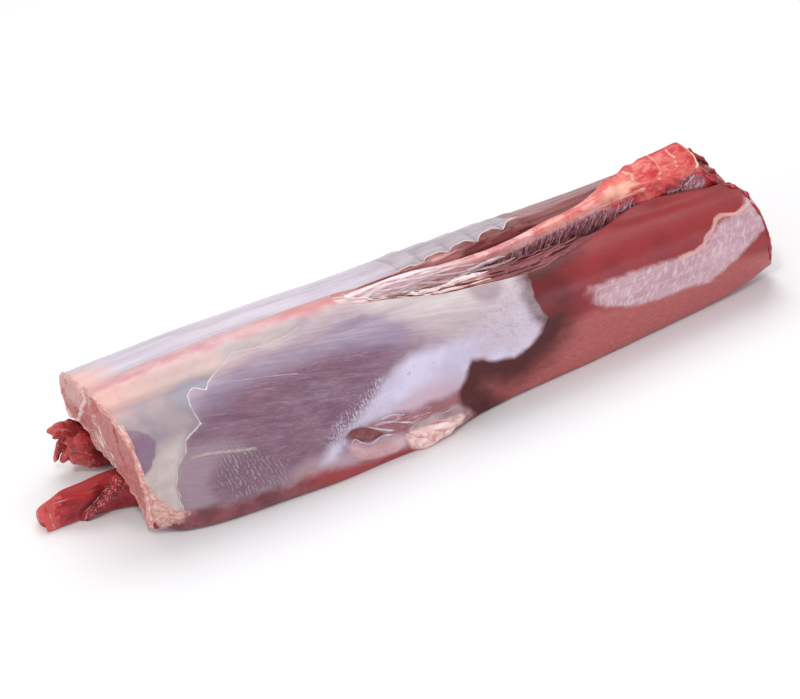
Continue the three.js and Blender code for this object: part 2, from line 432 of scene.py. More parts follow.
def two_sided_skin(corners, stations, half):
    """A plain skin of half as many columns on each side, their s and distance round it, each column's partner
    on the other side, and the order of the columns from the lowest of one side to the lowest of the other."""
    last = corners.shape[1]
    u = np.concatenate([even(corners, 0, last // 2, half), even(corners, last // 2, last, half)])
    plain = surface(corners, stations, u)
    s = np.broadcast_to(stations[:, None], plain.shape[:2])
    partner = -np.arange(2 * half) % (2 * half)
    outer = np.r_[half + 1:2 * half, :half + 1]
    return plain, s, both_ways_round(plain, half), partner, outer


# Meshes
def mesh_piece(name, parts, material, nodes=()):
    """A piece from closed parts: each is rows of points in mm that go round it, and named numbers at them."""
    sheet = bmesh.new()
    for rows, _ in parts:
        bmesh.ops.create_grid(sheet, x_segments=rows.shape[1], y_segments=len(rows) - 1, size=1)
    mesh = bpy.data.meshes.new(name)
    sheet.to_mesh(mesh)

    def wrapped(every):
        values = [np.concatenate([v, v[:, :1]], 1).reshape(v.shape[0] * (v.shape[1] + 1), -1) for v in every]
        return np.concatenate(values).astype(np.float32).ravel()

    mesh.vertices.foreach_set("co", wrapped([rows * MM + HIP_MIDDLE for rows, _ in parts]))
    for field in parts[0][1]:
        layer = mesh.attributes.new(field, "FLOAT", "POINT")
        layer.data.foreach_set("value", wrapped([fields[field] for _, fields in parts]))
    sheet.clear()
    sheet.from_mesh(mesh)
    bmesh.ops.remove_doubles(sheet, verts=sheet.verts, dist=1e-6)
    bmesh.ops.recalc_face_normals(sheet, faces=sheet.faces)
    sheet.to_mesh(mesh)
    sheet.free()
    mesh.shade_smooth()
    mesh.materials.append(material)
    piece = bpy.data.objects.new(name, mesh)
    bpy.context.scene.collection.objects.link(piece)
    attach(piece, "root")
    if nodes:
        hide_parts(*nodes)
    return piece


def tube(middle, upward, half_width, half_height, seed, lift, around):
    """Rows of points round a line of points: an uneven, rounded band that lies flat to upward, and how low
    each point is on it. Where its width comes down to nothing it closes."""
    ahead = np.gradient(middle, axis=0)
    beside_it = np.cross(upward, ahead)
    beside_it /= np.maximum(np.linalg.norm(beside_it, axis=-1, keepdims=True), 1e-9)
    angle = 2 * math.pi * np.arange(around) / around
    across = beside_it[:, None] * (half_width[:, None] * np.cos(angle))[..., None]
    above = upward[:, None] * (half_height[:, None] * np.sin(angle) + lift * half_height[:, None])[..., None]
    rows = middle[:, None] + (across + above)
    size = np.minimum(half_width, half_height)
    rows += (rows - middle[:, None]) * (0.3 * rough(rows, 3 + 2 * half_width.max(), seed))[..., None]
    over = np.broadcast_to((np.sin(angle) + 1) / 2, rows.shape[:2]) * (size[:, None] > 0)
    return rows, 0.5 - over


def on_sheet(sheet, s, across):
    """Points and unit normals of a surface at places given as s and the distance round it."""
    points, normals, stations, reach = sheet
    row = np.interp(s, stations, np.arange(len(stations)))
    low = np.minimum(row.astype(int), len(stations) - 2)
    found = []
    for values in (points, normals):
        place = np.empty((len(s), 3))
        for n, (i, share, a) in enumerate(zip(low, row - low, across)):
            for axis in range(3):
                first = np.interp(a, reach[i], values[i, :, axis])
                second = np.interp(a, reach[i + 1], values[i + 1, :, axis])
                place[n, axis] = first + share * (second - first)
        found.append(place)
    return found


def strand(sheet, line, width, height, seed):
    """A strand of tissue that lies on a surface along a line of (s, across) places and dips into it here and
    there. Both its ends are drawn out."""
    line = np.array(line, float)
    reached = np.concatenate([[0], np.cumsum(np.hypot(*np.diff(line, axis=0).T))])
    t = np.linspace(0, reached[-1], max(STRAND_LEAST_ROWS, int(reached[-1])))
    s = along(*zip(reached, line[:, 0]))(t)
    across = along(*zip(reached, line[:, 1]))(t)
    middle, upward = on_sheet(sheet, s, across)
    middle = middle + upward * (0.5 * height * rough(middle, 6, seed + 2) - 0.15 * height)[:, None]
    taper = np.sqrt(np.clip(np.minimum(t, reached[-1] - t) / (STRAND_TAPER * width), 0, 1))
    swell = 1 + 0.4 * rough(middle, 5, seed) + 0.25 * rough(middle, 2.2, seed + 1)
    half_width, half_height = width / 2 * taper * swell, height / 2 * taper * swell
    rows, shade = tube(middle, upward, half_width, half_height, seed, STRAND_LIFT, STRAND_SIDES)
    return rows, {"shade": shade}


# Places on the skin, as (s, across): across counts round it from the ridge, positive on the near side
TORN_EDGE = [
    (138, 11), (121, 17), (106, 18), (86, 15), (78, 21), (64, 34), (60, 39), (53, 33), (48, 38),
    (46, 46), (46, 52), (47, 58), (39, 61), (34, 64), (32, 70), (28, 73), (24, 76), (20, 87),
    (19, 100), (20, 108), (8, 112), (-20, 112), (-20, -10), (138, -10),
]
# Short pale strokes that fray the left edge of the painted highlight
HIGHLIGHT_FRAYS = [(124, 101), (134, 93), (146, 88), (158, 79)]
CREAM_FASCIA = [(-6, 74), (8, 68), (18, 62), (34, 60), (28, 76), (22, 90), (22, 114), (-6, 114)]
SILVER_BAND = [
    (447, 33), (438, 35), (435, 45), (427, 56), (407, 62), (396, 70), (388, 77), (380, 80), (366, 79),
    (350, 75), (330, 73), (304, 75), (298, 81), (312, 90), (336, 98), (364, 104), (388, 106), (403, 96),
    (416, 85), (431, 73), (447, 66),
]
BARE_FROM = [
    (292, 0), (291, 36), (277, 46), (269, 56), (268, 66), (269, 76), (271, 84), (267, 94), (258, 101),
    (246, 106), (234, 102), (226, 98), (219, 95), (215, 99), (211, 106), (206, 112), (207, 118),
    (215, 128), (222, 160), (470, 160), (470, 0),
]
# Zones that both flanks have, and those of the near side alone
FLANK_ZONES = {
    "window": [
        (16, 108), (14, 80), (40, 56), (58, 44), (84, 37), (112, 38), (142, 42), (166, 50), (180, 58),
        (186, 66), (180, 78), (160, 88), (140, 100), (122, 108), (90, 112), (50, 116),
    ],
    "haze": [
        (44, 40), (60, 42), (72, 34), (88, 34), (110, 33), (130, 36), (142, 30), (148, 22), (158, 17),
        (168, 22), (180, 36), (188, 50), (180, 60), (160, 52), (132, 46), (104, 44), (84, 46), (62, 52),
        (46, 52),
    ],
    "misty": [
        (18, 80), (28, 70), (42, 69), (58, 72), (68, 79), (66, 84), (54, 84), (46, 88), (40, 96), (42, 110),
        (20, 110),
    ],
    # A painted highlight: the broad reflection of a softbox on the wet silver skin, drawn as paler skin
    "painted_highlight": [
        (112, 111), (119, 104), (130, 98), (140, 92), (151, 84), (160, 76), (171, 69), (180, 67), (192, 72),
        (205, 74), (218, 77), (232, 78), (246, 76), (258, 70), (272, 64), (290, 60), (290, 96), (262, 106),
        (246, 110), (234, 105), (217, 98), (208, 107), (193, 105), (174, 101), (160, 98), (148, 98),
        (138, 97), (130, 99), (126, 105), (120, 112),
    ],
    "wrinkled": [(50, 82), (62, 79), (78, 90), (90, 101), (90, 112), (76, 116), (56, 112), (46, 98)],
    "beige_foot": [(92, 110), (104, 105), (118, 106), (124, 114), (104, 120), (90, 118)],
}
NEAR_ZONES = {
    # The pinker lower border of the painted highlight
    "rosy_painted_highlight": [
        (164, 92), (180, 89), (194, 94), (206, 98), (208, 108), (192, 106), (174, 102), (160, 99),
    ],
    # The upper part of the painted highlight, paler and more cream
    "upper_highlight": [
        (174, 22), (190, 30), (206, 40), (232, 50), (262, 54), (278, 56), (274, 70), (246, 76), (218, 76),
        (206, 72), (198, 62), (190, 50), (180, 36),
    ],
    # The dimmer upper right end of the painted highlight, with crackle lines in the skin
    "crackled_highlight": [(226, 70), (246, 56), (262, 50), (282, 52), (280, 72), (268, 92), (246, 98), (228, 88)],
    "patch": [(-12, 41), (6, 46), (14, 52), (16, 58), (13, 64), (9, 70), (3, 74), (-12, 76)],
    "brown": [
        (210, 108), (192, 105), (182, 102), (168, 99), (156, 98), (146, 98), (149, 105), (157, 111),
        (166, 113), (176, 112), (190, 115), (205, 119), (216, 121),
    ],
    "membrane": [
        (171, 112), (176, 109), (187, 112), (199, 115), (204, 116), (218, 120), (218, 128), (204, 132),
        (190, 120),
    ],
    "fat_corner": [
        (-6, 74), (2, 80), (6, 90), (10, 99), (17, 105), (22, 109), (18, 113), (10, 116), (-6, 128),
    ],
    "lump": [
        (165, 115), (170, 112), (176, 113), (184, 116), (194, 119), (202, 121), (207, 125), (202, 130),
        (194, 132), (184, 131), (174, 129), (167, 123),
    ],
    "pocket": [
        (130, 102), (134, 99), (140, 99), (146, 102), (152, 107), (155, 110), (147, 111), (142, 110),
        (136, 107),
    ],
    "fold": [
        (130, 107), (136, 107), (140, 112), (148, 113), (157, 113), (164, 115), (164, 120), (157, 122),
        (146, 121), (136, 118), (130, 112),
    ],
    "gathered": [
        (142, 98), (152, 96), (166, 99), (184, 105), (190, 113), (168, 112), (156, 111), (146, 105),
    ],
}
near_slit_edge = along(
    (0, -40), (150, -30), (158, 4), (164, 8), (195, 24), (216, 41), (246, 49), (278, 52), (300, 47),
    (320, 40), (348, 25), (364, 26), (386, 29), (411, 26), (437, 21),
)
far_slit_line = along(
    (0, -40), (150, -30), (158, 4), (172, 15), (206, 28), (234, 36), (262, 41), (292, 45), (318, 38),
    (342, 38), (360, 42), (437, 56),
)
near_sole_edge = along(
    (0, 109), (20, 108), (40, 112), (80, 115), (110, 117), (125, 119), (146, 122), (170, 122), (437, 122),
)
SKIN_TENDON = [(34, 75), (43, 76), (58, 80), (76, 85)]
LOIN_FAT_LINE = [
    (432, 53), (420, 58), (409, 58), (403, 61), (398, 67), (392, 71), (388, 76), (380, 80), (368, 80),
]
TENDON_LINE = [(48, 37), (40, 33), (30, 30), (22, 23), (14, 16), (3, 10)]
FAR_EYE_SEAM = [(13, 77), (7, 75), (7, 68), (18, 54), (35, 36)]
LIGAMENT = [(-9, 77), (0, 64), (13, 60)]
NEAR_RIM_GAP = [(-32, 72), (-30, 64), (-30, 54), (-31, 45)]


def far_slit_edge(s):
    """The edge of the far skin, which scallops where the folds of the skin end."""
    wave = np.sin(2 * math.pi * (s - FOLD_AT - 2) / SCALLOP_PITCH)
    wave += 0.35 * np.sin(4 * math.pi * (s - FOLD_AT) / SCALLOP_PITCH)
    return far_slit_line(s) + 2.2 * wave * step(s, 196, 212) * (1 - step(s, 292, 306))


def fold_share(s, across):
    """How far a place lies between two folds of the far skin, from 0 to 1. They lean as they run down."""
    phase = (s - FOLD_AT + FOLD_LEAN * (-across - FOLD_MIDDLE)) / SCALLOP_PITCH
    return phase - np.floor(phase)


def scalloped(s, across):
    """How far the far skin's folds stand up: each rises slowly and drops at its edge."""
    share = fold_share(s, across)
    return share**1.5 * (1 - step(share, 0.88, 1.0))


def beyond_fold(s, across):
    """How far a place on the far skin lies beyond the fold before it, in mm along the saddle."""
    return np.where((s > FOLDS_START) & (s < FOLDS_END), fold_share(s, across) * SCALLOP_PITCH, 99)


def skin_zones(plain, s, across, is_near, under):
    """How far inside each zone of the skin its points lie, in mm; outside is negative."""

    def near_only(field):
        return np.where(is_near, field, NOWHERE)

    def far_only(field):
        return np.where(is_near, NOWHERE, field)

    def on_flanks(corners):
        """A zone of the near side, repeated on the part of the far side that the photo doesn't show."""
        repeated = np.minimum(inside(s, -across, corners), -across - 54)
        return np.where(is_near, inside(s, across, corners), repeated)

    slit = np.where(is_near, near_slit_edge(s) - across, far_slit_edge(s) + across)
    slit = np.where(s < SLIT_START, -30, slit)
    far_bare = s - FAR_SKIN_END + 0.5 * np.maximum(-across - 46, 0)
    far_bare = far_bare + 9 * rough(plain, 26, 35) * step(-across, 34, 56)
    bare = np.where(is_near, inside(s, across, BARE_FROM), far_bare)
    bare = bare + 1.5 * rough(plain, 8, 33) + 0.8 * rough(plain, 3.5, 34)
    torn = on_flanks(TORN_EDGE)
    far = np.minimum(-across - 5, 60 + across)
    past_sole = across - near_sole_edge(s)
    beyond = beyond_fold(s, across)
    # Painted highlights on the crests of the far skin's folds, fading out down the flank
    fold_highlight = 0.9 - np.minimum(beyond, np.abs(SCALLOP_PITCH - beyond))
    fold_highlight_end = (66 + across + 6 * rough(plain, 18, 36)) / 6
    by_the_bare = (1.1 + 2 * step(across, 82, 94)) * bare + 6
    low_or_high = 8 * step(across, 80, 92) + 1 + 4 * (1 - step(across, 52, 68))
    return {
        **{name: on_flanks(corners) for name, corners in FLANK_ZONES.items()},
        **{name: inside(s, across, corners) for name, corners in NEAR_ZONES.items()},
        # Painted highlight strokes along the left edge of the broad highlight
        "frayed_painted_highlight": near_only(7 - beside(s, across, HIGHLIGHT_FRAYS)),
        # A painted shadow: a soft grey spot on the skin below the slit
        "shadow_spot": 8 - 8 * np.hypot((s - 242) / 10, (across - 52) / 10),
        "skin_tendon": 0.7 - beside(s, across, SKIN_TENDON),
        "loin_fat_line": 1.2 - beside(s, across, LOIN_FAT_LINE),
        "cream_edge": np.minimum(np.where(is_near, 13 + 8 * step(s, 185, 225) + slit, 6 + slit), s - 174),
        # A pale broken line along the torn fascia: partly its own pale edge, partly a painted highlight on
        # the step
        "torn_rim_highlight": np.minimum(torn + 0.6, (131 - s) / 8),
        "fascia": torn,
        "cream_fascia": np.minimum(on_flanks(CREAM_FASCIA), 9 * torn),
        "ridge_fat": np.minimum(np.minimum(22 - 11 * step(s, 90, 150) - across, across + 5), 172 - s),
        "peach_band": np.minimum(np.minimum(19 - across, across - 2), 80 - s),
        "far": far,
        # Painted highlight along each fold's crest and painted shadow just past each drop
        "fold_highlight": far_only(np.minimum(fold_highlight, fold_highlight_end)),
        "fold_shadow": far_only(np.minimum(np.minimum(5 - beyond, 8), (62 + across) / 3)),
        "far_flank": np.minimum(far, (s - 200) / 3),
        "band": np.minimum(5.5 - np.abs(across - 1.5), 166 - s),
        "red_spot": 1 - np.hypot((s - 141) / 24, (across + 3) / 11),
        "peach": 1 - np.hypot((s + 4) / 28, (across - 9) / 24),
        "far_peach": 1 - np.hypot((s + 2) / 22, (across + 16) / 20),
        "sole": np.minimum(np.where(is_near, past_sole, -across - 110), (s - 7) * 0.5),
        "bright_sole": np.minimum(near_only(past_sole), (34 - np.abs(s - 142)) / 3),
        "skin_rim": np.minimum(bare + 1.0, 246 - s),
        "bare": bare,
        "far_film": far_only(np.minimum(-across - 27, 9 * bare)),
        "shaded": near_only(np.minimum(np.minimum(by_the_bare, 0.6 * (19 - bare)), low_or_high)),
        "pale_slit": near_only(np.minimum(slit, (238 - s) * 0.5)),
        "slit_rim": np.minimum(slit + 1.1, np.where(is_near, 264, FAR_SKIN_END) - s),
        "slit": slit,
        "deep_slit": np.minimum(slit, (s - 248) / 5),
        "silver": np.minimum(on_flanks(SILVER_BAND), (s - 306) / 4),
        "brick": np.minimum(bare, np.abs(across) - 92),
        "under": under - 3,
    }


def skin_relief(plain, s, across, is_near, fields):
    """How far the skin stands out from its plain form, in mm."""
    cover = step(fields["slit"], 1.2, -1.2)
    opened = step(s, SLIT_OPENS, SLIT_OPEN)
    relief = 0.6 * rough(plain, 42, 1) + 0.3 * rough(plain, (30, 12, 12), 2)
    relief += 0.35 * step(fields["fascia"], -0.8, 0.8) - 0.4 * step(fields["patch"], -1, 1)
    relief += 0.5 * step(fields["silver"], -1, 1)
    relief += 0.3 * rough(plain, (2.6, 8, 8), 7) * step(fields["silver"], 0, 4)
    fine_lines = np.maximum(fields["wrinkled"], fields["crackled_highlight"])
    relief += 0.22 * rough(plain, (2.4, 7, 7), 12) * step(fine_lines, -2, 8)
    crumbs = 0.9 * rough(plain, 5, 3) + 0.8 * rough(plain, 2.8, 4)
    relief += (0.8 + 1.3 * crumbs) * step(fields["fat_corner"], -3, 4)
    relief += (2.6 + 1.6 * crumbs) * step(fields["lump"], -2, 5) + 0.8 * step(fields["membrane"], -1, 2)
    relief += np.where(is_near, 1.8, 1.4) * (cover - 1) * opened
    relief += 0.9 * rough(plain, (34, 4, 4), 5) * (1 - cover) * opened * (1 - step(s, 300, 330))
    relief += 1.6 * step(fields["fold"], -2, 4) - 3.4 * step(fields["pocket"], -3.5, 3)
    relief -= 0.5 * step(fields["sole"], -0.5, 2)
    folds = 2.6 * scalloped(s, across) * step(s, 204, 214) * (1 - step(s, 292, 306))
    relief += np.where(is_near, 0, (folds - 0.8) * hump(-across, 40, 22))
    relief -= 0.4 * step(fields["bare"], -0.7, 0.7)
    relief += 0.15 * rough(plain, (9, 8, 8), 14) * step(fields["bare"], 0, 4)
    relief += 0.5 * rough(plain, (9, 2.2, 2.2), 15) * step(fields["gathered"], -1, 3)
    relief += 0.4 * step(fields["loin_fat_line"], -1, 1)
    return relief


def make_loins(material):
    """The loins and flanks, and their outer surface for the pieces that lie on it."""
    stations = np.linspace(0, SADDLE_LENGTH, LOIN_ROWS)
    corners = body_outline(stations)
    near, far = LOIN_NEAR_COLUMNS, LOIN_FAR_COLUMNS
    near_both, count = 2 * near, 2 * near + 2 * far
    u = np.concatenate([
        even(corners, 0, FOOT_MIDDLE, near),
        even(corners, FOOT_MIDDLE, KEEL, near),
        even(corners, KEEL, FAR_FOOT_MIDDLE, far),
        even(corners, FAR_FOOT_MIDDLE, CORNERS, far),
    ])
    columns = np.arange(count)
    partner = np.where(columns <= near_both, near_both - columns, 2 * (near_both + far) - columns) % count
    plain = surface(corners, stations, u)
    s = np.broadcast_to(stations[:, None], plain.shape[:2])
    across = both_ways_round(plain, near_both)
    is_near = np.broadcast_to(columns <= near_both, s.shape)
    under = np.where(is_near, across - across[:, near, None], across[:, near_both + far, None] - across)
    fields = skin_zones(plain, s, across, is_near, under)
    relief = skin_relief(plain, s, across, is_near, fields)
    shaped = plain + outward(plain) * relief[..., None]
    shaped[..., 2] = np.maximum(shaped[..., 2], 0)

    closing = LOIN_END_ROWS
    rows, depth = ends_closed(shaped, partner, closing)
    last = len(rows) - closing
    on_cut = np.zeros(len(rows), bool)
    on_cut[:closing] = on_cut[last:] = True
    at_hip = on_cut & (np.arange(len(rows)) < closing)
    y, z = rows[..., 1], rows[..., 2]
    seam = np.minimum(beside(y, z, TENDON_LINE), beside(y, z, FAR_EYE_SEAM))
    gap = beside(y, z, NEAR_RIM_GAP)
    tie = beside(y, z, LIGAMENT)
    coarse = 0.8 * rough(rows, 5, 8) + 0.7 * rough(rows, 2.4, 9) + 0.9 * rough(rows, 14, 10)
    coarse += (0.9 + 0.9 * rough(rows, 6, 11)) * hump(depth, 1.6, 1.3)
    lines = 0.9 * hump(seam, 0, 1.5) - 1.4 * hump(gap, 0, 1.6) + 0.8 * hump(tie, 0, 3)
    proud = step(depth, 0, 2.5) * (coarse + lines * at_hip[:, None])
    rows[:closing, :, 0] -= proud[:closing]
    rows[last:, :, 0] += proud[last:]
    fields = {name: carried_on(values, closing) for name, values in fields.items()}
    from_cut = carried_on(np.minimum(s, SADDLE_LENGTH - s), closing)
    fields["cut"] = np.where(on_cut[:, None], depth + 0.2, -from_cut)
    fields["eye"] = np.where(on_cut[:, None], depth - 2.6, NOWHERE)
    fields["far_eye"] = np.where(at_hip[:, None], fields["far"], NOWHERE)
    for name, distance, reach in (("seam", seam, 1.4), ("gap", gap, 1.5), ("tie", tie, 4)):
        fields[name] = np.where(at_hip[:, None], reach - distance, NOWHERE)

    mesh_piece("loins_skin", [(rows, fields)], material, ["loins"])
    outer = np.r_[near_both + far:count, :near + 1]
    return shaped[:, outer], outward(plain)[:, outer], stations, across[:, outer]


# Backbone
BLOCK_LINES = [
    [(386, 10), (391, 4), (391, -4), (388, -12)],
    [(366, -6), (370, 1), (367, 7)],
    [(404, -8), (407, 0), (404, 7)],
    [(334, 8), (346, 9.5), (360, 11), (372, 12)],
]
BLOCK_FLAP = [
    (363, 8), (378, 9), (394, 11), (402, 15), (396, 20), (390, 18), (384, 23), (377, 21), (370, 26),
    (364, 21),
]


def make_backbone(material):
    """The backbone with its spines, and its outer surface for the pieces that lie on it."""
    stations = np.linspace(-0.6, SADDLE_LENGTH + 0.4, BACKBONE_ROWS)
    corners = backbone_outline(stations)
    plain, s, across, partner, outer = two_sided_skin(corners, stations, BACKBONE_COLUMNS)
    below = blade_top_z(s) - plain[..., 2]
    block = step(s, BLOCK_START, BLOCK_WHOLE)
    wall = step(below, 1.5, 5)
    between_tendons = np.min([
        np.abs(np.abs(across) - (2.6 + 2.7 * k + 0.012 * k * (s - 170) + 0.7 * np.sin(0.19 * s + 1.9 * k)))
        for k in range(6)
    ], axis=0)
    relief = 0.5 * rough(plain, (28, 5, 5), 21) + 0.35 * rough(plain, (14, 3, 3), 22) * (1 - block)
    tendons = step(s, TENDONS_START, 172) * (1 - step(s, 244, 256))
    relief -= 0.5 * step(0.9 - between_tendons, 0, 0.9) * tendons
    relief += block * (2.1 * rough(plain, 12, 23) + 1.3 * rough(plain, 5, 24)) * (1 - 0.3 * wall)
    slanted = plain @ np.array([[1, 0, 0], [0, 1, 0], [0.9, 0, 1]])
    relief += wall * step(s, 290, 320) * 0.9 * rough(slanted, (3.4, 12, 12), 25)
    relief += 1.6 * hump(s, 352, 5) * (1 - wall) + 1.2 * hump(s, 366, 4) * (1 - wall)
    relief += 2.4 * step(inside(s, across, BLOCK_FLAP), -1, 3)
    shaped = plain + outward(plain) * relief[..., None]
    shaped[..., 2] += 2.3 * hump(s, 220, 28) * (1 - step(below, 4, 12))
    closing = BACKBONE_END_ROWS
    rows, inward = ends_closed(shaped, partner, closing)
    last = len(rows) - closing
    coarse = step(inward, 0, 2) * (0.6 * rough(rows, 5, 27) + 0.5 * rough(rows, 2.4, 28))
    rows[:closing, :, 0] -= coarse[:closing]
    rows[last:, :, 0] += coarse[last:]
    on_cut = inward.copy()
    on_cut[closing:last] = -1
    canal = CANAL_RADIUS - np.hypot(rows[..., 1], rows[..., 2] - CANAL_HEIGHT)
    fields = {
        "cap": np.minimum(5 - below, (s - CAP_START) / 4),
        "coral": np.minimum(5 - below, (s - CORAL_START) / 3),
        "tendon_line": np.minimum(
            np.minimum(0.55 - between_tendons, (TENDONS_END - s) / 6), (s - TENDONS_START) / 6,
        ),
        "cream_patch": 1 - np.hypot((s - 357) / 12, (across - 6) / 5),
        "block": (s - 344) / 2,
        "cream_line": 0.7 - np.min([beside(s, across, line) for line in BLOCK_LINES], axis=0),
        "flap": inside(s, across, BLOCK_FLAP),
        "rim": np.minimum(1.6 - np.abs(below - 2.6), 346 - s),
        "wall": np.minimum(below - 5 - 4.5 * block, (s - WALL_START) / 3),
        "end": s - BLOCK_TORN_END,
    }
    fields = {field: carried_on(values, closing) for field, values in fields.items()}
    fields["cut"] = on_cut
    fields["canal"] = np.where(on_cut > 0, canal, NOWHERE)
    fields["bone"] = np.where(on_cut > 0, on_cut - 2, NOWHERE)
    mesh_piece("backbone_spines", [(rows, fields)], material, ["backbone"])
    return shaped[:, outer], outward(plain)[:, outer], stations, across[:, outer]


# Tenderloin
def make_tenderloin(name, strap, tip, node, material, limbs, seed):
    """A strap of tenderloin with its torn end and limbs, and its outer surface for the pieces on it."""
    stations = np.linspace(tip, TENDERLOIN_END, TENDERLOIN_ROWS)
    corners = tenderloin_outline(strap, stations)
    plain, s, across, partner, outer = two_sided_skin(corners, stations, TENDERLOIN_COLUMNS)
    is_near = node == "tenderloin_near"
    y, z = plain[..., 1], plain[..., 2]
    front = step((strap["back"](s) + strap["front"](s)) / 2 - y, -1, 4)
    beyond = s + CREASE_FOOT - CREASE_SLOPE * (z - 5)
    near_crease = front * step(s, -34, -24) * (1 - step(s, 2, 12)) * is_near
    relief = 0.6 * rough(plain, (30, 9, 9), seed) + 0.35 * rough(plain, (12, 4, 4), seed + 1)
    if not is_near:
        relief += 1.1 * rough(plain, 6, seed + 6) + 0.8 * rough(plain, 3, seed + 7)
    relief += near_crease * (2.6 * hump(beyond, 4, 3.2) - 2.2 * hump(beyond, -3, 4))
    shaped = plain + outward(plain) * relief[..., None]
    if not is_near:
        narrowed = 0.5 + 0.5 * np.sqrt(step(stations - tip, -3, 16))[:, None, None]
        hub = shaped.mean(1, keepdims=True)
        shaped[..., 1:] = (hub + (shaped - hub) * narrowed)[..., 1:]
    shaped[..., 2] = np.maximum(shaped[..., 2], 0)
    closing = TENDERLOIN_END_ROWS
    rows, inward = ends_closed(shaped, partner, closing)
    ragged = 1.3 * rough(rows, 7, seed + 3) + 1.0 * rough(rows, 3.5, seed + 4)
    rows[:closing, :, 0] -= (step(inward, 0, 3) * ragged)[:closing]
    if is_near:
        notch = np.exp(-(((rows[..., 1] + 7) / 2.6) ** 2) - ((rows[..., 2] - 3) / 3) ** 2)
        lean = 6 * step(rows[..., 2], 9, 19) + 4.5 * notch
        rows[..., 0] += lean * step(-rows[..., 0], 26, 46)
    fields = {
        "torn_end": np.minimum(tip + 9 - s, 4),
        # The top and the front face are painted lighter than the rest, by which way they face, for the light
        # on them
        "top": z - strap["high"](s) + 3,
        # Painted shade in the hollow beside the crease
        "deep": near_crease * (13 - np.abs(beyond + 5)) - 8,
        "glint": near_crease * (14 - np.abs(beyond - 5)) - 8,
        "craggy": np.full(s.shape, NOWHERE if is_near else 3),
        # The front face's painted tone, lighter than the back, for the light on it
        "front": np.minimum(strap["high"](s) - 5 - z, 7 * front - 3),
    }
    fields = {field: carried_on(values, closing) for field, values in fields.items()}
    parts = [(rows, fields)] + [limb(line, sizes, seed + 5 + n) for n, (line, sizes) in enumerate(limbs)]
    mesh_piece(name, parts, material, [node])
    return shaped[:, outer], outward(plain)[:, outer], stations, across[:, outer]


def limb(line, sizes, seed):
    """A free tongue of flesh along (s, y, z) points, with its half width and half height at each."""
    line, sizes = np.array(line, float), np.array(sizes, float)
    at = np.linspace(0, 1, len(line))
    t = np.linspace(0, 1, LIMB_ROWS)
    middle = np.stack([along(*zip(at, line[:, k]))(t) for k in range(3)], -1)
    close = np.sqrt(np.clip(np.minimum(t, 1 - t) / 0.12, 0, 1))
    half_width, half_height = (along(*zip(at, sizes[:, k]))(t) * close for k in (0, 1))
    upward = np.broadcast_to(np.array([0.0, 0.0, 1.0]), middle.shape)
    rows, _ = tube(middle, upward, half_width, half_height, seed, 0, LIMB_SIDES)
    rows += 1.5 * rough(rows, 4, seed + 1)[..., None] * (half_width[:, None, None] > 0) * (0, 0.6, 0.8)
    everywhere = {
        "torn_end": ((0.45 - t) * 12)[:, None],
        "top": -2,
        "craggy": 3,
        "deep": NOWHERE,
        "glint": NOWHERE,
        "front": NOWHERE,
    }
    return rows, {field: np.broadcast_to(value, rows.shape[:2]) for field, value in everywhere.items()}


FAR_LIMBS = [
    ([(-24, 43, 30), (-17, 42, 30.5), (-8, 39, 28), (8, 34, 22)], [(3, 1.6), (5, 3.4), (7, 5), (7, 6)]),
    ([(-22, 41, 26), (-17, 40, 27), (-10, 38, 26), (4, 34, 22)], [(2, 1.2), (3, 2), (4, 3), (5, 4)]),
    ([(-25, 42, 8), (-22.5, 42, 13), (-17, 41, 19), (-2, 37, 21)], [(3, 3), (4, 4), (5, 5), (6, 6)]),
    ([(-22, 38, 10), (-17, 38, 13), (-10, 37, 17), (2, 35, 20)], [(2, 2), (3, 3), (4, 4), (5, 5)]),
    ([(-18, 40, 11), (-12, 40, 8.5), (-4, 37, 8), (6, 33, 10)], [(3, 3), (5, 4.5), (7, 5.5), (8, 6)]),
    ([(-20, 40, 17), (-14, 39, 16), (-6, 36, 17), (6, 33, 18)], [(2, 2.5), (4, 4), (6, 5.5), (8, 7)]),
    ([(-14, 43, 21), (-10, 44, 24), (-4, 42, 26), (4, 38, 24)], [(3, 2.5), (4, 3), (5, 4), (5, 5)]),
    ([(-8, 30, 6), (-4, 29, 8), (2, 28, 10), (10, 28, 12)], [(2.5, 2.5), (3.5, 3.5), (4, 4), (4, 4)]),
]


def lane(offset, start, end, seed, count=9):
    """A wandering line beside the near edge of the slit: offset mm inside it."""
    s = np.linspace(start, end, count)
    drift = 1.3 * rough(np.stack([s, 0 * s, 0 * s], -1), 14, seed)
    return list(zip(s, np.maximum(near_slit_edge(s) - offset + drift, 1.5)))


# Small pieces that lie on these surfaces
BLADE_MEMBRANES = [
    ([(s, first + (last - first) * (s - 172) / 110 + 0.9 * math.sin(0.16 * s + first))
      for s in range(172, end, 6)], width, height)
    for first, last, end, width, height in (
        (4.5, 6, 262, 1.6, 1.2), (6.5, 9, 276, 2.4, 2.0), (8.5, 12, 282, 1.8, 1.8),
        (10.5, 15, 272, 2.6, 2.4), (12.5, 18, 290, 1.8, 1.8), (15, 21, 268, 2.6, 2.2),
    )
]
BLADE_CREAM = [
    ([(s, 9.6 + 0.05 * (s - 190) + 1.1 * math.sin(0.13 * s)) for s in range(186, 274, 6)], 1.0, 1.8),
    ([(s, 14 + 0.05 * (s - 190) + 0.9 * math.sin(0.17 * s)) for s in range(192, 262, 6)], 1.3, 2.0),
]
wall_at = 270 + 1.6 * np.arange(66) + 1.2 * np.sin(1.7 * np.arange(66))
WALL_FIBRES = [
    ([(s, a), (s - 2.4, a + 3.5), (s - 5.5 + math.sin(2.3 * s), a + 8 + 2 * math.sin(3.7 * s))], w, w)
    for s, a, w in zip(
        wall_at, blade_half(wall_at) + 4.5 + 2.5 * np.sin(5.1 * wall_at), 0.7 + 0.35 * np.sin(2.9 * wall_at),
    )
]
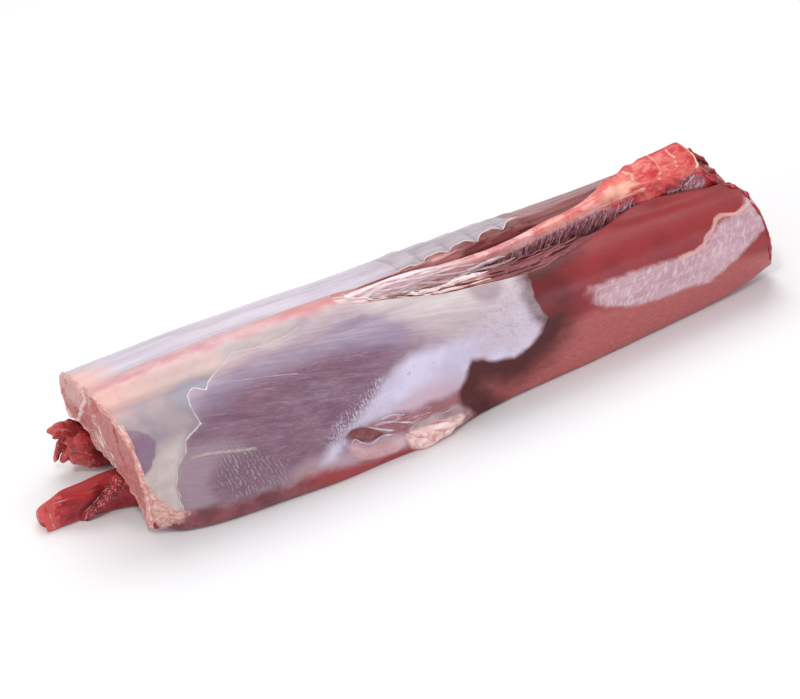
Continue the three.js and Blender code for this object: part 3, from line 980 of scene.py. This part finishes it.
# Each is a name, slot, finish, surface, seed and strands, and a strand is its line, width and height in mm
SMALL_PIECES = [
    ("slit_cream_strands", "skinned_loin", "cream_sinew", "skin", 100, [
        (lane(4.5, 176, 250, 50, 14), 1.3, 1.1),
        (lane(7, 198, 246, 51), 2.0, 1.5),
        (lane(9.5, 202, 244, 52), 1.4, 1.3),
        (lane(2.5, 190, 240, 54), 0.9, 0.8),
    ]),
    ("slit_pearly_strands", "skinned_loin", "pearly_sinew", "skin", 130, [
        ([(166, 1.5), (176, 4), (190, 10), (204, 15), (214, 18)], 2.4, 1.6),
        ([(186, 8), (196, 14), (206, 19), (214, 24)], 1.8, 1.4),
        (lane(12, 206, 252, 57), 2.2, 2.2),
        (lane(15, 200, 248, 56), 2.4, 2.4),
    ]),
    ("slit_muscle_strands", "skinned_loin", "dried_muscle", "skin", 150, [
        (lane(0.8, 186, 262, 65, 14), 1.1, 1.2),
        (lane(5.8, 190, 270, 66, 14), 0.8, 1.8),
        (lane(2.5, 252, 308, 58), 2.0, 1.2),
        (lane(7, 254, 312, 59), 2.4, 1.8),
        (lane(12, 264, 318, 60), 1.8, 1.6),
        (lane(17, 268, 326, 61), 2.2, 1.8),
        (lane(8, 250, 290, 64), 1.2, 1.4),
    ]),
    ("silver_skin_edges", "skinned_loin", "dried_collagen_edge", "skin", 170, [
        ([(s, -far_slit_edge(s) - 0.4) for s in np.arange(196, 300, 2.5)], 0.9, 0.6),
    ]),
    ("silver_skin_fibres", "skinned_loin", "fibre_in_the_skin", "skin", 190, [
        ([(66, 38), (90, 45), (114, 52)], 0.45, 0.25),
        ([(20, 92), (21, 100), (20, 107)], 0.6, 0.3),
    ]),
    ("hip_rim_fat", "skinned_loin", "rim_fat", "skin", 210, [
        ([(0.7, a) for a in (1, 9, 18, 28, 40)], 1.5, 1.0),
        ([(0.9, a) for a in (36, 44, 52, 60, 70, 78)], 2.0, 1.3),
        ([(0.7, a) for a in (74, 84, 92, 98, 106, 112)], 1.6, 1.2),
        ([(1.0, -a) for a in (1, 14, 28, 40, 52, 66, 80)], 1.2, 0.9),
        ([(2.4, a) for a in (40, 46, 52, 58)], 1.1, 0.8),
        ([(2, 86), (4, 92), (5, 98)], 2.4, 1.0),
        ([(4, 96), (8, 101), (13, 105)], 3.0, 1.1),
        ([(2, 104), (5, 109), (9, 112)], 3.4, 1.6),
        ([(10, 108), (15, 110), (20, 110)], 2.4, 1.2),
    ]),
    ("corner_muscle", "skinned_loin", "scrap_of_muscle", "skin", 240, [
        ([(1, 110), (3, 118), (8, 123)], 4.0, 2.8),
        ([(436, 24), (436.2, 30), (435.6, 36)], 4.4, 3.2),
        ([(435.6, 38), (436.2, 44), (435.2, 51)], 3.6, 2.4),
        ([(431, 25), (433, 29), (434, 35)], 3.2, 1.8),
        ([(434, 50), (435.6, 56), (436, 62)], 2.6, 1.6),
        ([(436.2, 58), (436, 70), (436.2, 80)], 1.6, 1.1),
        ([(436.2, 84), (436, 94), (436, 103)], 2.0, 1.4),
    ]),
    ("flank_fat", "skinned_loin", "soft_fat", "skin", 260, [
        ([(165, 113), (169, 116), (172, 121), (173, 126)], 4.0, 2.6),
        ([(169, 117), (174, 120), (180, 124)], 5.0, 3.0),
        ([(174, 113), (182, 117), (190, 121), (199, 124)], 5.0, 2.6),
        ([(178, 123), (186, 125), (194, 126)], 5.5, 3.0),
        ([(196, 121), (201, 123), (205, 126)], 3.0, 2.0),
    ]),
    ("flank_wrinkles", "skinned_loin", "wrinkle_of_the_skin", "skin", 280, [
        ([(143, 100), (148, 103), (154, 106), (160, 109)], 1.2, 0.8),
        ([(148, 100.5), (156, 101.5), (165, 105), (172, 108)], 1.5, 0.7),
        ([(152, 98), (160, 98), (169, 101.5)], 1.2, 0.5),
        ([(131, 107), (135, 105.5), (139, 109), (144, 111.5), (152, 110), (160, 111)], 1.4, 1.0),
        ([(168, 112), (175, 109.5), (184, 112), (194, 115), (204, 116)], 0.6, 0.6),
    ]),
    ("blade_membranes", "spines_and_bone", "pearly_sinew", "spines", 310, BLADE_MEMBRANES),
    ("blade_cream", "spines_and_bone", "cream_sinew", "spines", 330, BLADE_CREAM),
    ("block_cream", "spines_and_bone", "ligament_edge", "spines", 340, [
        ([(419, -12), (421, -6), (421, 2), (420, 9), (417, 13)], 2.6, 1.4),
    ]),
    ("block_sinews_and_glints", "spines_and_bone", "sinew_and_glints_on_the_spines", "spines", 360, [
        # The first three strands, pale lilac under the block's rim, are painted glints; the wall fibres are
        # sinew
        ([(388, 20), (395, 22), (402, 20)], 1.2, 0.7),
        ([(402, 21), (409, 20), (416, 17)], 1.4, 0.7),
        ([(392, 26), (402, 26), (412, 24)], 1.0, 0.7),
        ([(350, 17), (355, 19), (360, 17)], 1.2, 0.8),
        *WALL_FIBRES,
    ]),
    ("block_muscle", "spines_and_bone", "scrap_of_muscle", "spines", 480, [
        ([(424, 2), (430, 4), (435, 6)], 9.0, 6.0),
        ([(422, -8), (429, -8), (435, -6)], 8.0, 6.0),
        ([(422, 14), (428, 15), (434, 13)], 6.0, 4.0),
    ]),
    ("tenderloin_membrane_and_glints", "tenderloin_meat", "membrane_and_glints_on_the_tenderloin", "near_strap", 500, [
        ([(-42, 4.5), (-37, 5.2), (-31, 6)], 0.5, 0.3),
        ([(-43.5, 8), (-44.5, 14), (-44, 20)], 0.8, 0.4),
        # Pale strands along the crease: painted glints
        ([(-26, 21), (-23, 19.6), (-20.5, 17.6)], 0.9, 0.5),
        ([(-20, 16.6), (-17, 14.6), (-14.5, 12)], 0.8, 0.45),
        ([(-13, 10.6), (-10.5, 9.4), (-9, 8)], 0.6, 0.4),
    ]),
]


# Finishes
def colour(code):
    """An sRGB hex colour as linear RGBA."""
    channels = [int(code[i:i + 2], 16) / 255 for i in (1, 3, 5)]
    return [c / 12.92 if c <= 0.04045 else ((c + 0.055) / 1.055) ** 2.4 for c in channels] + [1.0]


def add(tree, kind, settings=(), links=(), output=0):
    """Adds a node with its settings and links, each a value or another node's output. Gives one output."""
    node = tree.nodes.new("ShaderNode" + kind)
    for name, value in dict(settings).items():
        setattr(node, name, value)
    for name, value in dict(links).items():
        if isinstance(value, bpy.types.NodeSocket):
            tree.links.new(value, node.inputs[name])
        else:
            node.inputs[name].default_value = value
    return node.outputs[output] if node.outputs else None


def new_finish(name):
    """An empty material and the tree to add to."""
    material = bpy.data.materials.new(name)
    material.use_nodes = True
    material.node_tree.nodes.clear()
    return material, material.node_tree


def pattern(tree, size, detail=3.0, roughness=0.55, stretch=(1, 1, 1), distortion=0.0, turn=(0, 0, 0)):
    """Noise from 0 to 1 whose lumps are size mm across, times stretch along each axis of its turned frame."""
    place = add(tree, "TexCoord", output="Object")
    scaled = add(
        tree, "Mapping", {"vector_type": "TEXTURE"},
        {"Vector": place, "Rotation": turn, "Scale": [size * k * MM for k in stretch]},
    )
    return add(
        tree, "TexNoise", (),
        {"Vector": scaled, "Scale": 1.0, "Detail": detail, "Roughness": roughness, "Distortion": distortion},
        "Fac",
    )


def within(tree, field, noise, wander, soft, strength=1.0):
    """Strength where a field is above nothing. The edge wanders with a noise and is soft, both in mm."""
    place = add(tree, "Attribute", {"attribute_name": field}, (), "Fac")
    place = add(tree, "Math", {"operation": "MULTIPLY_ADD"}, {0: noise, 1: 2 * wander, 2: place})
    return add(
        tree, "MapRange", {"interpolation_type": "SMOOTHSTEP"},
        {"Value": place, "From Min": wander - soft, "From Max": wander + soft, "To Max": strength},
    )


def painted(tree, ground, coats):
    """Coats of colour over a ground, each with the place that within() needs, its colour and its strength.
    A colour is one code, or what uneven() needs. A strength is a number, or the noise that it grows with, the
    noise's values where it is nothing and full, and its most. Either may be another node's output."""
    for field, noise, wander, soft, coat, strength in coats:
        if isinstance(coat, str):
            coat = colour(coat)
        elif isinstance(coat, tuple):
            coat = uneven(tree, *coat)
        if isinstance(strength, tuple):
            grows_with, none_at, full_at, most = strength
            strength = add(
                tree, "MapRange", (),
                {"Value": grows_with, "From Min": none_at, "From Max": full_at, "To Max": most},
            )
        share = within(tree, field, noise, wander, soft, strength)
        ground = add(tree, "Mix", {"data_type": "RGBA"}, {0: share, 6: ground, 7: coat}, 2)
    return ground


def uneven(tree, first, second, noise, start=0.35, end=0.65):
    """A colour that drifts between two with a noise."""
    share = add(
        tree, "MapRange", {"interpolation_type": "SMOOTHSTEP"},
        {"Value": noise, "From Min": start, "From Max": end},
    )
    return add(tree, "Mix", {"data_type": "RGBA"}, {0: share, 6: colour(first), 7: colour(second)}, 2)


def relief_of(tree, layers, distance):
    """A bumped normal from layers of noise, each with its weight; distance in mm."""
    height = 0.0
    for noise, weight in layers:
        height = add(tree, "Math", {"operation": "MULTIPLY_ADD"}, {0: noise, 1: weight, 2: height})
    return add(tree, "Bump", (), {"Height": height, "Distance": distance * MM})


def wet_flesh(tree, base, normal, roughness, coat, depth, specular=0.25):
    """Flesh under a film of moisture: light goes depth mm into it, reddest furthest, and the film shines."""
    surface_shader = add(
        tree, "BsdfPrincipled", (),
        {"Base Color": base, "Normal": normal, "Coat Normal": normal, "Roughness": roughness, "IOR": 1.4,
         "Specular IOR Level": specular, "Subsurface Weight": 0.15, "Subsurface Radius": (1.0, 0.35, 0.3),
         "Subsurface Scale": depth * MM, "Coat Weight": coat, "Coat Roughness": 0.09, "Coat IOR": 1.36},
    )
    add(tree, "OutputMaterial", (), {"Surface": surface_shader})


# Slants of the fine lines in the skin, and the pitch of its wrinkles in mm
COMBED_SLANT = math.radians(29)
CRACKLE_SLANT = math.radians(-35)
HATCHED_SLANT = math.radians(-14)
SKIN_FIBRE_TURN = (0, math.radians(11), math.radians(-11))
WRINKLE_PITCH = 2.4
WAVE_PERIOD = 0.314  # of the wave texture at a scale of 1


def silver_skin_over_loin():
    """Silver skin is a thin wet sheet of collagen: pearly, finely lined lengthways, and the dark red loin
    shows mauve through it where it is thin. Fascia, fat, bare muscle and the cut faces are zones of it.
    Its fibres are 0.1 mm and less, too fine to show, so the lines are drawn 1 mm wide."""
    material, tree = new_finish("silver_skin_over_loin")
    fibre = pattern(tree, 1.0, 4, 0.6, (30, 1, 1), 0, SKIN_FIBRE_TURN)
    streak = pattern(tree, 3.0, 4, 0.6, (16, 1, 1), 0.2)
    drawn = pattern(tree, 3.0, 4, 0.6, (16, 1, 1), 0.2, SKIN_FIBRE_TURN)
    blotch = pattern(tree, 26, 3, 0.5)
    cloud = pattern(tree, 9, 4, 0.6, (1.6, 1, 1))
    rag = pattern(tree, 6, 5, 0.6)
    stroke = pattern(tree, 1.0, 4, 0.7, (1, 2.6, 2.6), 0.4)
    lines = pattern(tree, 0.9, 6, 0.8, (12, 1, 1), 0, SKIN_FIBRE_TURN)
    sweep = pattern(tree, 3.0, 5, 0.7, (14, 1, 1), 0.1, SKIN_FIBRE_TURN)
    crease = pattern(tree, 1.9, 3, 0.55, (1, 1, 3.5), 0.7, (0, COMBED_SLANT, 0))
    gather = pattern(tree, 1.5, 3, 0.6, (6, 1, 1), 0.5)
    crumb = pattern(tree, 2.4, 4, 0.65)
    crackle = pattern(tree, 1.3, 3, 0.6, (1, 1, 3), 0.8, (0, CRACKLE_SLANT, 0))
    wrinkle_place = add(
        tree, "Mapping", {"vector_type": "TEXTURE"},
        {"Vector": add(tree, "TexCoord", output="Object"), "Rotation": (0, HATCHED_SLANT, 0),
         "Scale": [WRINKLE_PITCH / WAVE_PERIOD * MM] * 3},
    )
    ripple = add(
        tree, "TexWave", (),
        {"Vector": wrinkle_place, "Scale": 1.0, "Distortion": 9.0, "Detail": 3.0, "Detail Scale": 1.2,
         "Detail Roughness": 0.6}, "Fac",
    )
    faint = add(tree, "MapRange", (), {"Value": crease, "From Min": 0.4, "From Max": 0.58, "To Min": 0.2})
    hatch = add(tree, "Math", {"operation": "MULTIPLY"}, {0: ripple, 1: faint})
    grain = pattern(tree, 1.6, 4, 0.7, (1, 1, 1.8), 0.4)
    raw = painted(tree, uneven(tree, "#e3a49f", "#bd6c67", grain, 0.34, 0.66), [
        ("eye", blotch, 9, 7, "#a84f4c", 0.45),
        ("far_eye", cloud, 2, 5, "#e6bcb6", 0.5),
        ("far_eye", crumb, 0, 3, "#9c5350", (crumb, 0.54, 0.64, 0.6)),
    ])
    broken = add(
        tree, "MapRange", (),
        {"Value": cloud, "From Min": 0.4, "From Max": 0.56, "To Min": 0.25, "To Max": 0.85},
    )
    shown = painted(tree, uneven(tree, "#b39da6", "#a18b98", drawn), [
        ("window", cloud, 7, 9, ("#876472", "#6e4a5b", cloud, 0.3, 0.7), 1),
        ("window", fibre, 3, 8, ("#74505f", "#98808f", lines, 0.3, 0.75), 0.35),
        # Lighter lilac streaks along the window: a painted sheen
        ("window", cloud, 3, 8, "#a28fa8", (sweep, 0.48, 0.66, 0.3)),
        ("window", cloud, 3, 8, "#a894a8", (lines, 0.56, 0.62, 0.45)),
        ("window", cloud, 3, 8, "#bcabb8", (crumb, 0.66, 0.72, 0.35)),
        ("haze", cloud, 4, 8, ("#9489a3", "#84728a", sweep), 0.65),
        ("misty", cloud, 4, 6, ("#a58f9b", "#9c868e", fibre), 0.85),
        ("beige_foot", cloud, 4, 5, "#ab9396", 0.7),
        ("wrinkled", cloud, 4, 9, "#7d606b", 0.6),
        ("wrinkled", cloud, 4, 6, "#bba9b8", (hatch, 0.2, 0.95, 0.55)),
        ("skin_tendon", fibre, 0.4, 0.5, "#c4b5ab", 0.8),
        ("cream_edge", cloud, 5, 8, ("#cec3c1", "#bfb1b2", cloud), 0.9),
        # The upper part of the painted highlight
        ("upper_highlight", cloud, 5, 6, ("#cbbdbb", "#bdadb0", drawn), 0.75),
        # The painted highlight of a softbox on the wet skin: its frayed left edge, darker mottle, pores and
        # pinker border
        ("painted_highlight", cloud, 4, 5, ("#d2cbde", "#c8bfd2", blotch, 0.42, 0.64), 1),
        ("frayed_painted_highlight", stroke, 2, 4, "#d4cde0", (stroke, 0.5, 0.6, 0.7)),
        ("painted_highlight", cloud, 0, 6, "#a893a5", (blotch, 0.45, 0.65, 0.2)),
        ("rosy_painted_highlight", cloud, 4, 5, "#c3a3ae", 0.75),
        ("painted_highlight", cloud, 0, 6, "#9c8490", (crumb, 0.38, 0.32, 0.5)),
        # The dimmer end of the painted highlight, with the skin's fine lines and crackle marks over it
        ("crackled_highlight", cloud, 3, 7, "#c9b9c0", 0.7),
        ("crackled_highlight", cloud, 3, 6, "#a391a0", (lines, 0.56, 0.62, 0.45)),
        ("crackled_highlight", cloud, 3, 6, "#917c88", (crackle, 0.46, 0.36, 0.4)),
        # Painted shadow, a soft grey spot
        ("shadow_spot", cloud, 2, 3, "#97838b", 0.75),
        # The torn fascia's pale edge, partly a painted highlight where the step catches light
        ("torn_rim_highlight", rag, 1.2, 0.35, "#f2ecea", broken),
        ("fascia", rag, 1.2, 0.35, ("#948890", "#897d8c", blotch), 1),
        ("fascia", cloud, 2, 6, "#bba9a4", (blotch, 0.42, 0.6, 0.5)),
        ("fascia", cloud, 2, 6, "#9b9db2", (blotch, 0.5, 0.4, 0.55)),
        ("cream_fascia", cloud, 6, 6, ("#cfc3ba", "#c0b1ac", cloud), 0.9),
        ("ridge_fat", blotch, 12, 13, ("#c9bab5", "#bfaaa9", cloud), 0.95),
        ("peach_band", blotch, 7, 11, "#d8b2aa", 0.6),
        ("peach", cloud, 0.5, 0.8, "#e0ad9f", 0.7),
        ("peach", rag, 0.6, 0.9, "#cf918c", (rag, 0.5, 0.62, 0.45)),
        ("patch", rag, 2, 1.0, ("#8f7587", "#866b80", cloud), 0.95),
        ("far", cloud, 2, 3, ("#cfc6d0", "#bfb2bf", streak), 1),
        ("far_peach", cloud, 0.3, 0.5, "#e3b0a3", 0.75),
        # Painted shadow past each fold's drop and painted highlight along each crest
        ("fold_shadow", cloud, 1.5, 3, "#8d7b8a", 0.75),
        ("fold_highlight", rag, 0.8, 0.5, "#dccfd2", 0.7),
        ("far_flank", cloud, 8, 12, ("#b5a8af", "#a4979f", streak), 1),
        ("band", cloud, 3, 3, ("#dcaeb2", "#ce9299", cloud), 0.85),
        ("red_spot", cloud, 0.3, 0.5, "#cf817d", 0.55),
        ("sole", cloud, 4, 3.5, ("#8a4c50", "#6c353b", cloud), 0.95),
        ("bright_sole", cloud, 6, 8, "#a83c3b", 0.85),
        ("brown", cloud, 3, 3, ("#a2676a", "#8a5053", cloud), 0.9),
        ("gathered", rag, 2, 2.5, "#cbb0b9", (gather, 0.5, 0.6, 0.6)),
        ("pocket", rag, 1.2, 1.2, ("#8f5150", "#703638", rag), 0.95),
        ("fold", cloud, 2, 1.8, ("#d2b0b2", "#c09597", cloud), 0.95),
        ("skin_rim", rag, 0.5, 0.5, "#d9ccd3", broken),
        ("bare", rag, 0.5, 0.7, ("#953739", "#893236", blotch), 1),
        # Tiny pale specks on the bare muscle: painted glints
        ("bare", rag, 2, 3, "#c98087", (crumb, 0.66, 0.72, 0.35)),
        ("far_film", cloud, 2, 5, ("#ae9c9d", "#95706f", streak), 0.7),
        ("membrane", rag, 2, 1.5, ("#b99e9e", "#967878", cloud), 0.9),
        ("brick", cloud, 5, 6, ("#b56763", "#a65a58", fibre), 0.9),
        ("shaded", cloud, 4, 8, "#4f2222", 1),
        ("silver", rag, 2.5, 2.4, ("#c8a6ac", "#b8949c", streak), 0.95),
        ("silver", rag, 2.5, 2.4, "#e4d3d9", (crease, 0.5, 0.66, 0.5)),
        ("loin_fat_line", rag, 1.4, 0.7, ("#e3bbb0", "#cf9c96", rag), 0.85),
        ("slit_rim", rag, 0.5, 0.5, "#d9ccc4", broken),
        ("slit", rag, 0.5, 0.4, ("#cf9a96", "#a86865", streak), 1),
        ("deep_slit", streak, 1, 1, ("#8c4243", "#602b2e", streak), 0.9),
        ("pale_slit", streak, 3, 1, ("#ecd4d3", "#c09092", streak), 0.95),
        ("fat_corner", rag, 5, 2, ("#e0baac", "#c5857b", crumb, 0.4, 0.6), 0.85),
        ("lump", rag, 3, 1.2, ("#eecfc8", "#cf948d", rag, 0.4, 0.64), 1),
        ("under", cloud, 2, 2, ("#7b3337", "#a3686a", cloud), 1),
        ("cut", crumb, 0.5, 0.4, ("#ecbdb2", "#cd7d76", crumb, 0.35, 0.7), 1),
        ("eye", rag, 1.5, 0.6, raw, 1),
        ("tie", crumb, 1, 1, ("#d8706c", "#b94d4c", crumb), 0.9),
        ("seam", crumb, 0.6, 0.5, "#efd0c6", 0.85),
        ("gap", crumb, 0.4, 0.5, "#a43a3a", 0.85),
    ])
    on_cut = within(tree, "cut", crumb, 0.5, 0.5, 1.4)
    wrinkled = within(tree, "wrinkled", cloud, 3, 6, 0.9)
    cross = add(tree, "Math", {"operation": "MULTIPLY"}, {0: hatch, 1: wrinkled})
    coarse = add(tree, "Math", {"operation": "MULTIPLY"}, {0: grain, 1: on_cut})
    normal = relief_of(tree, [(fibre, 0.25), (rag, 0.4), (stroke, 0.25), (cross, 1.0), (coarse, 1.0)], 0.5)
    roughness = add(
        tree, "MapRange", (),
        {"Value": cloud, "From Min": 0.3, "From Max": 0.7, "To Min": 0.34, "To Max": 0.5},
    )
    film = add(
        tree, "MapRange", (), {"Value": within(tree, "bare", rag, 0.5, 0.7), "To Min": 0.35, "To Max": 0.14},
    )
    wet_flesh(tree, shown, normal, roughness, film, 3)
    return material


def moist_cartilage():
    """The spines' cartilage caps and the ligament over them: coral pink, translucent and wet, with cream
    edges, and purple red fibres with white glints on the walls below. The cut ends show porous bone.
    The ligament's fibres are too fine to show, so they are drawn 1.2 mm wide."""
    material, tree = new_finish("moist_cartilage")
    fibre = pattern(tree, 1.2, 4, 0.6, (18, 1, 1), 0.3)
    cloud = pattern(tree, 11, 4, 0.6)
    crumb = pattern(tree, 2.4, 4, 0.65)
    drift = pattern(tree, 6, 5, 0.7, (2, 1, 1), 0.6)
    comb = pattern(tree, 1.3, 3, 0.6, (1, 1, 7), 0.6, (0, COMBED_SLANT, 0))
    shown = painted(tree, uneven(tree, "#f8ecef", "#e2c5cb", fibre), [
        ("tendon_line", crumb, 0.4, 0.45, ("#c08a88", "#9c5a5a", drift), 0.8),
        ("cap", cloud, 4, 4, ("#edb9b7", "#d18083", drift, 0.38, 0.62), 1),
        ("coral", cloud, 4, 5, ("#f0a498", "#d3655f", drift, 0.38, 0.62), 1),
        ("block", cloud, 2, 3, ("#c83a3d", "#e17a6e", drift, 0.4, 0.62), 1),
        ("cream_patch", drift, 0.5, 0.5, "#f2bfa6", 0.75),
        ("rim", cloud, 1.2, 0.7, ("#f0c4b4", "#ea9c90", cloud), 0.35),
        ("wall", crumb, 1.6, 1, ("#b26b74", "#733840", cloud), 1),
        ("wall", crumb, 1.6, 1, "#dcbac6", (comb, 0.5, 0.62, 0.75)),
        ("flap", crumb, 1.5, 1, ("#d85a55", "#b03436", drift), 1),
        ("cream_line", crumb, 0.5, 0.4, "#f0c3ad", 0.8),
        ("end", crumb, 2, 1, ("#b23335", "#7c2226", cloud), 1),
        ("cut", crumb, 0.5, 0.4, ("#c67773", "#a34f4d", crumb), 1),
        ("bone", crumb, 2, 1, ("#d9a79a", "#b46a62", crumb, 0.4, 0.6), 1),
        ("canal", crumb, 1, 0.6, "#e6cdc2", 0.9),
    ])
    normal = relief_of(tree, [(fibre, 0.5), (crumb, 0.6)], 0.6)
    wet_flesh(tree, shown, normal, 0.34, 0.6, 3)
    return material


def fresh_tenderloin():
    """Bare tenderloin: deep red, wet muscle, painted lighter on top and front for the light, paler where it
    is torn.
    Its bundles of fibres are about 1 mm wide."""
    material, tree = new_finish("fresh_tenderloin")
    fibre = pattern(tree, 1.1, 4, 0.6, (16, 1, 1), 0.3)
    cloud = pattern(tree, 8, 4, 0.6)
    crumb = pattern(tree, 2.6, 4, 0.6)
    speck = pattern(tree, 0.9, 3, 0.6, (1, 1, 2))
    shown = painted(tree, uneven(tree, "#99262a", "#741a1e", cloud), [
        # Painted light: the front and top faces get lighter tones than the rest of the strap
        ("front", cloud, 2, 2, ("#b03d45", "#86282f", cloud), 0.9),
        ("top", cloud, 2, 2.5, ("#b32a2c", "#9c2225", fibre), 0.9),
        # Painted shade in the hollow beside the crease
        ("deep", cloud, 2, 3, "#520f14", 0.6),
        ("glint", cloud, 2, 3, "#e3a5a8", (speck, 0.54, 0.62, 0.7)),
        ("torn_end", cloud, 6, 4, ("#d83c3d", "#b02a2c", cloud), 0.9),
        ("torn_end", crumb, 12, 2, "#d98a86", 0.3),
        ("craggy", crumb, 0, 1, "#6e1a1e", (cloud, 0.5, 0.4, 0.5)),
        ("craggy", crumb, 0, 1, "#df9a94", (crumb, 0.6, 0.66, 0.6)),
    ])
    normal = relief_of(tree, [(fibre, 0.6), (cloud, 1.0)], 0.5)
    wet_flesh(tree, shown, normal, 0.3, 0.4, 1.5, 0.1)
    return material


def small_tissue(name, pale, dark, foot, size, bump=0.6):
    """A finish for small strands and crumbs: it drifts between two colours over a size in mm, and is the
    foot's colour where the strand meets what it lies on."""
    material, tree = new_finish(name)
    drift = pattern(tree, size, 4, 0.6, (2.5, 1, 1))
    crumb = pattern(tree, 1.4, 3, 0.6)
    shown = painted(tree, uneven(tree, dark, pale, drift), [("shade", crumb, 0.2, 0.25, foot, 0.85)])
    wet_flesh(tree, shown, relief_of(tree, [(crumb, bump)], 0.5), 0.36, 0.5, 2)
    return material


# Camera, fitted to the photo: the focus is the point that FOCUS_PIXEL shows
FOCUS = HIP_MIDDLE + np.array([210, 0, 35]) * MM
EYE_DISTANCE = 1.3
AZIMUTH, ELEVATION, ROLL = (math.radians(a) for a in (-20, 35, 9.5))
FOCAL_PIXELS = 2080
FOCUS_PIXEL = (418, 326)
IMAGE = (800, 699)
SENSOR_MM = 36


def camera_axes():
    """The photo's right, up and back in the frame."""
    back = Vector((
        math.sin(AZIMUTH) * math.cos(ELEVATION), -math.cos(AZIMUTH) * math.cos(ELEVATION),
        math.sin(ELEVATION),
    ))
    level = Vector((math.cos(AZIMUTH), math.sin(AZIMUTH), 0))
    rise = back.cross(level)
    right = level * math.cos(ROLL) - rise * math.sin(ROLL)
    up = level * math.sin(ROLL) + rise * math.cos(ROLL)
    return right, up, back


def make_camera():
    data = bpy.data.cameras.new("photo_camera")
    data.sensor_width = SENSOR_MM
    data.lens = SENSOR_MM * FOCAL_PIXELS / IMAGE[0]
    data.shift_x = (IMAGE[0] / 2 - FOCUS_PIXEL[0]) / IMAGE[0]
    data.shift_y = (FOCUS_PIXEL[1] - IMAGE[1] / 2) / IMAGE[0]
    camera = bpy.data.objects.new("photo_camera", data)
    bpy.context.scene.collection.objects.link(camera)
    right, up, back = camera_axes()
    turn = Matrix((right, up, back)).transposed().to_4x4()
    camera.matrix_world = Matrix.Translation(Vector(FOCUS) + back * EYE_DISTANCE) @ turn
    bpy.context.scene.camera = camera


# Studio
FLOOR_REACH = 4
SKY_STRENGTH = 0.42


def soft_light(name, azimuth, elevation, distance, size, power, tint="#ffffff"):
    """A softbox that looks at the saddle from a direction: azimuth 0 stands at -Y, 90 at +X."""
    data = bpy.data.lights.new(name, "AREA")
    data.shape = "RECTANGLE"
    data.size, data.size_y = size
    data.energy = power
    data.color = colour(tint)[:3]
    light = bpy.data.objects.new(name, data)
    bpy.context.scene.collection.objects.link(light)
    a, e = math.radians(azimuth), math.radians(elevation)
    towards = Vector((math.sin(a) * math.cos(e), -math.cos(a) * math.cos(e), math.sin(e)))
    light.location = Vector(FOCUS) + towards * distance
    light.rotation_euler = towards.to_track_quat("Z", "Y").to_euler()


def make_studio():
    ground = bmesh.new()
    bmesh.ops.create_grid(ground, x_segments=1, y_segments=1, size=FLOOR_REACH)
    mesh = bpy.data.meshes.new("floor")
    ground.to_mesh(mesh)
    ground.free()
    floor = bpy.data.objects.new("floor", mesh)
    bpy.context.scene.collection.objects.link(floor)
    # Matt white paper scatters light evenly, so the floor has no highlights
    paper, tree = new_finish("matt_white_paper")
    surface_shader = add(tree, "BsdfPrincipled", (), {"Base Color": colour("#efefef"), "Roughness": 0.9})
    add(tree, "OutputMaterial", (), {"Surface": surface_shader})
    mesh.materials.append(paper)

    world = bpy.data.worlds.new("studio")
    world.use_nodes = True
    sky = world.node_tree.nodes["Background"]
    sky.inputs["Color"].default_value = colour("#fcfcff")
    sky.inputs["Strength"].default_value = SKY_STRENGTH
    bpy.context.scene.world = world
    bpy.context.scene.view_settings.view_transform = "Standard"
    soft_light("top_softbox", 160, 62, 1.3, (1.3, 0.9), 12.5)
    soft_light("front_softbox", 24, 14, 1.3, (0.7, 0.5), 5.5, "#f4f0ff")
    soft_light("left_softbox", -80, 28, 1.4, (0.8, 0.6), 4.5)
    soft_light("small_softbox", -30, 60, 1.3, (0.12, 0.12), 3)


# Fat and loose collagen dry to cream, sinews stay pink or pearly, and scraps of muscle are the reddest
SMALL_FINISHES = {
    "cream_sinew": ("#ecdad0", "#d9b8ae", "#c2938e", 4),
    "pearly_sinew": ("#f2e6ea", "#e6ccd2", "#cda2a8", 4),
    "scrap_of_muscle": ("#bb3638", "#86232a", "#5a171c", 5),
    "dried_muscle": ("#9a5859", "#74373a", "#542528", 5),
    "dried_collagen_edge": ("#e0d4d2", "#c4aeac", "#aa9394", 5, 0.3),
    "fibre_in_the_skin": ("#c2b0ba", "#a48d9b", "#97808f", 5, 0.3),
    "wrinkle_of_the_skin": ("#cfc0cb", "#b39aa5", "#8e6a70", 4, 0.3),
    "rim_fat": ("#edc3ba", "#cf8880", "#a8524e", 3),
    "soft_fat": ("#f3ded8", "#e0b0a8", "#c28a82", 5, 0.4),
    "ligament_edge": ("#f6d0b0", "#efb297", "#d67d6c", 4),
    # Membrane lines, and pale strands that are painted glints along the crease
    "membrane_and_glints_on_the_tenderloin": ("#e0a9a6", "#b86361", "#9a3b3b", 4),
    # Sinew on the spines, and pale strands that are painted glints under the block's rim
    "sinew_and_glints_on_the_spines": ("#d9b3bf", "#a4636f", "#6f313b", 4),
}

make_camera()
make_studio()
loin_finish = silver_skin_over_loin()
backbone_finish = moist_cartilage()
tenderloin_finish = fresh_tenderloin()
surfaces = {
    "skin": make_loins(loin_finish),
    "spines": make_backbone(backbone_finish),
    "near_strap": make_tenderloin(
        "near_tenderloin_strap", NEAR_TENDERLOIN, NEAR_TIP, "tenderloin_near", tenderloin_finish, [], 31,
    ),
}
make_tenderloin(
    "far_tenderloin_strap", FAR_TENDERLOIN, FAR_TIP, "tenderloin_far", tenderloin_finish, FAR_LIMBS, 41,
)
small_finishes = {name: small_tissue(name, *look) for name, look in SMALL_FINISHES.items()}
for name, slot, finish, lies_on, seed, lines in SMALL_PIECES:
    parts = [
        strand(surfaces[lies_on], line, width, height, seed + 2 * n)
        for n, (line, width, height) in enumerate(lines)
    ]
    mesh_piece(name, parts, small_finishes[finish])
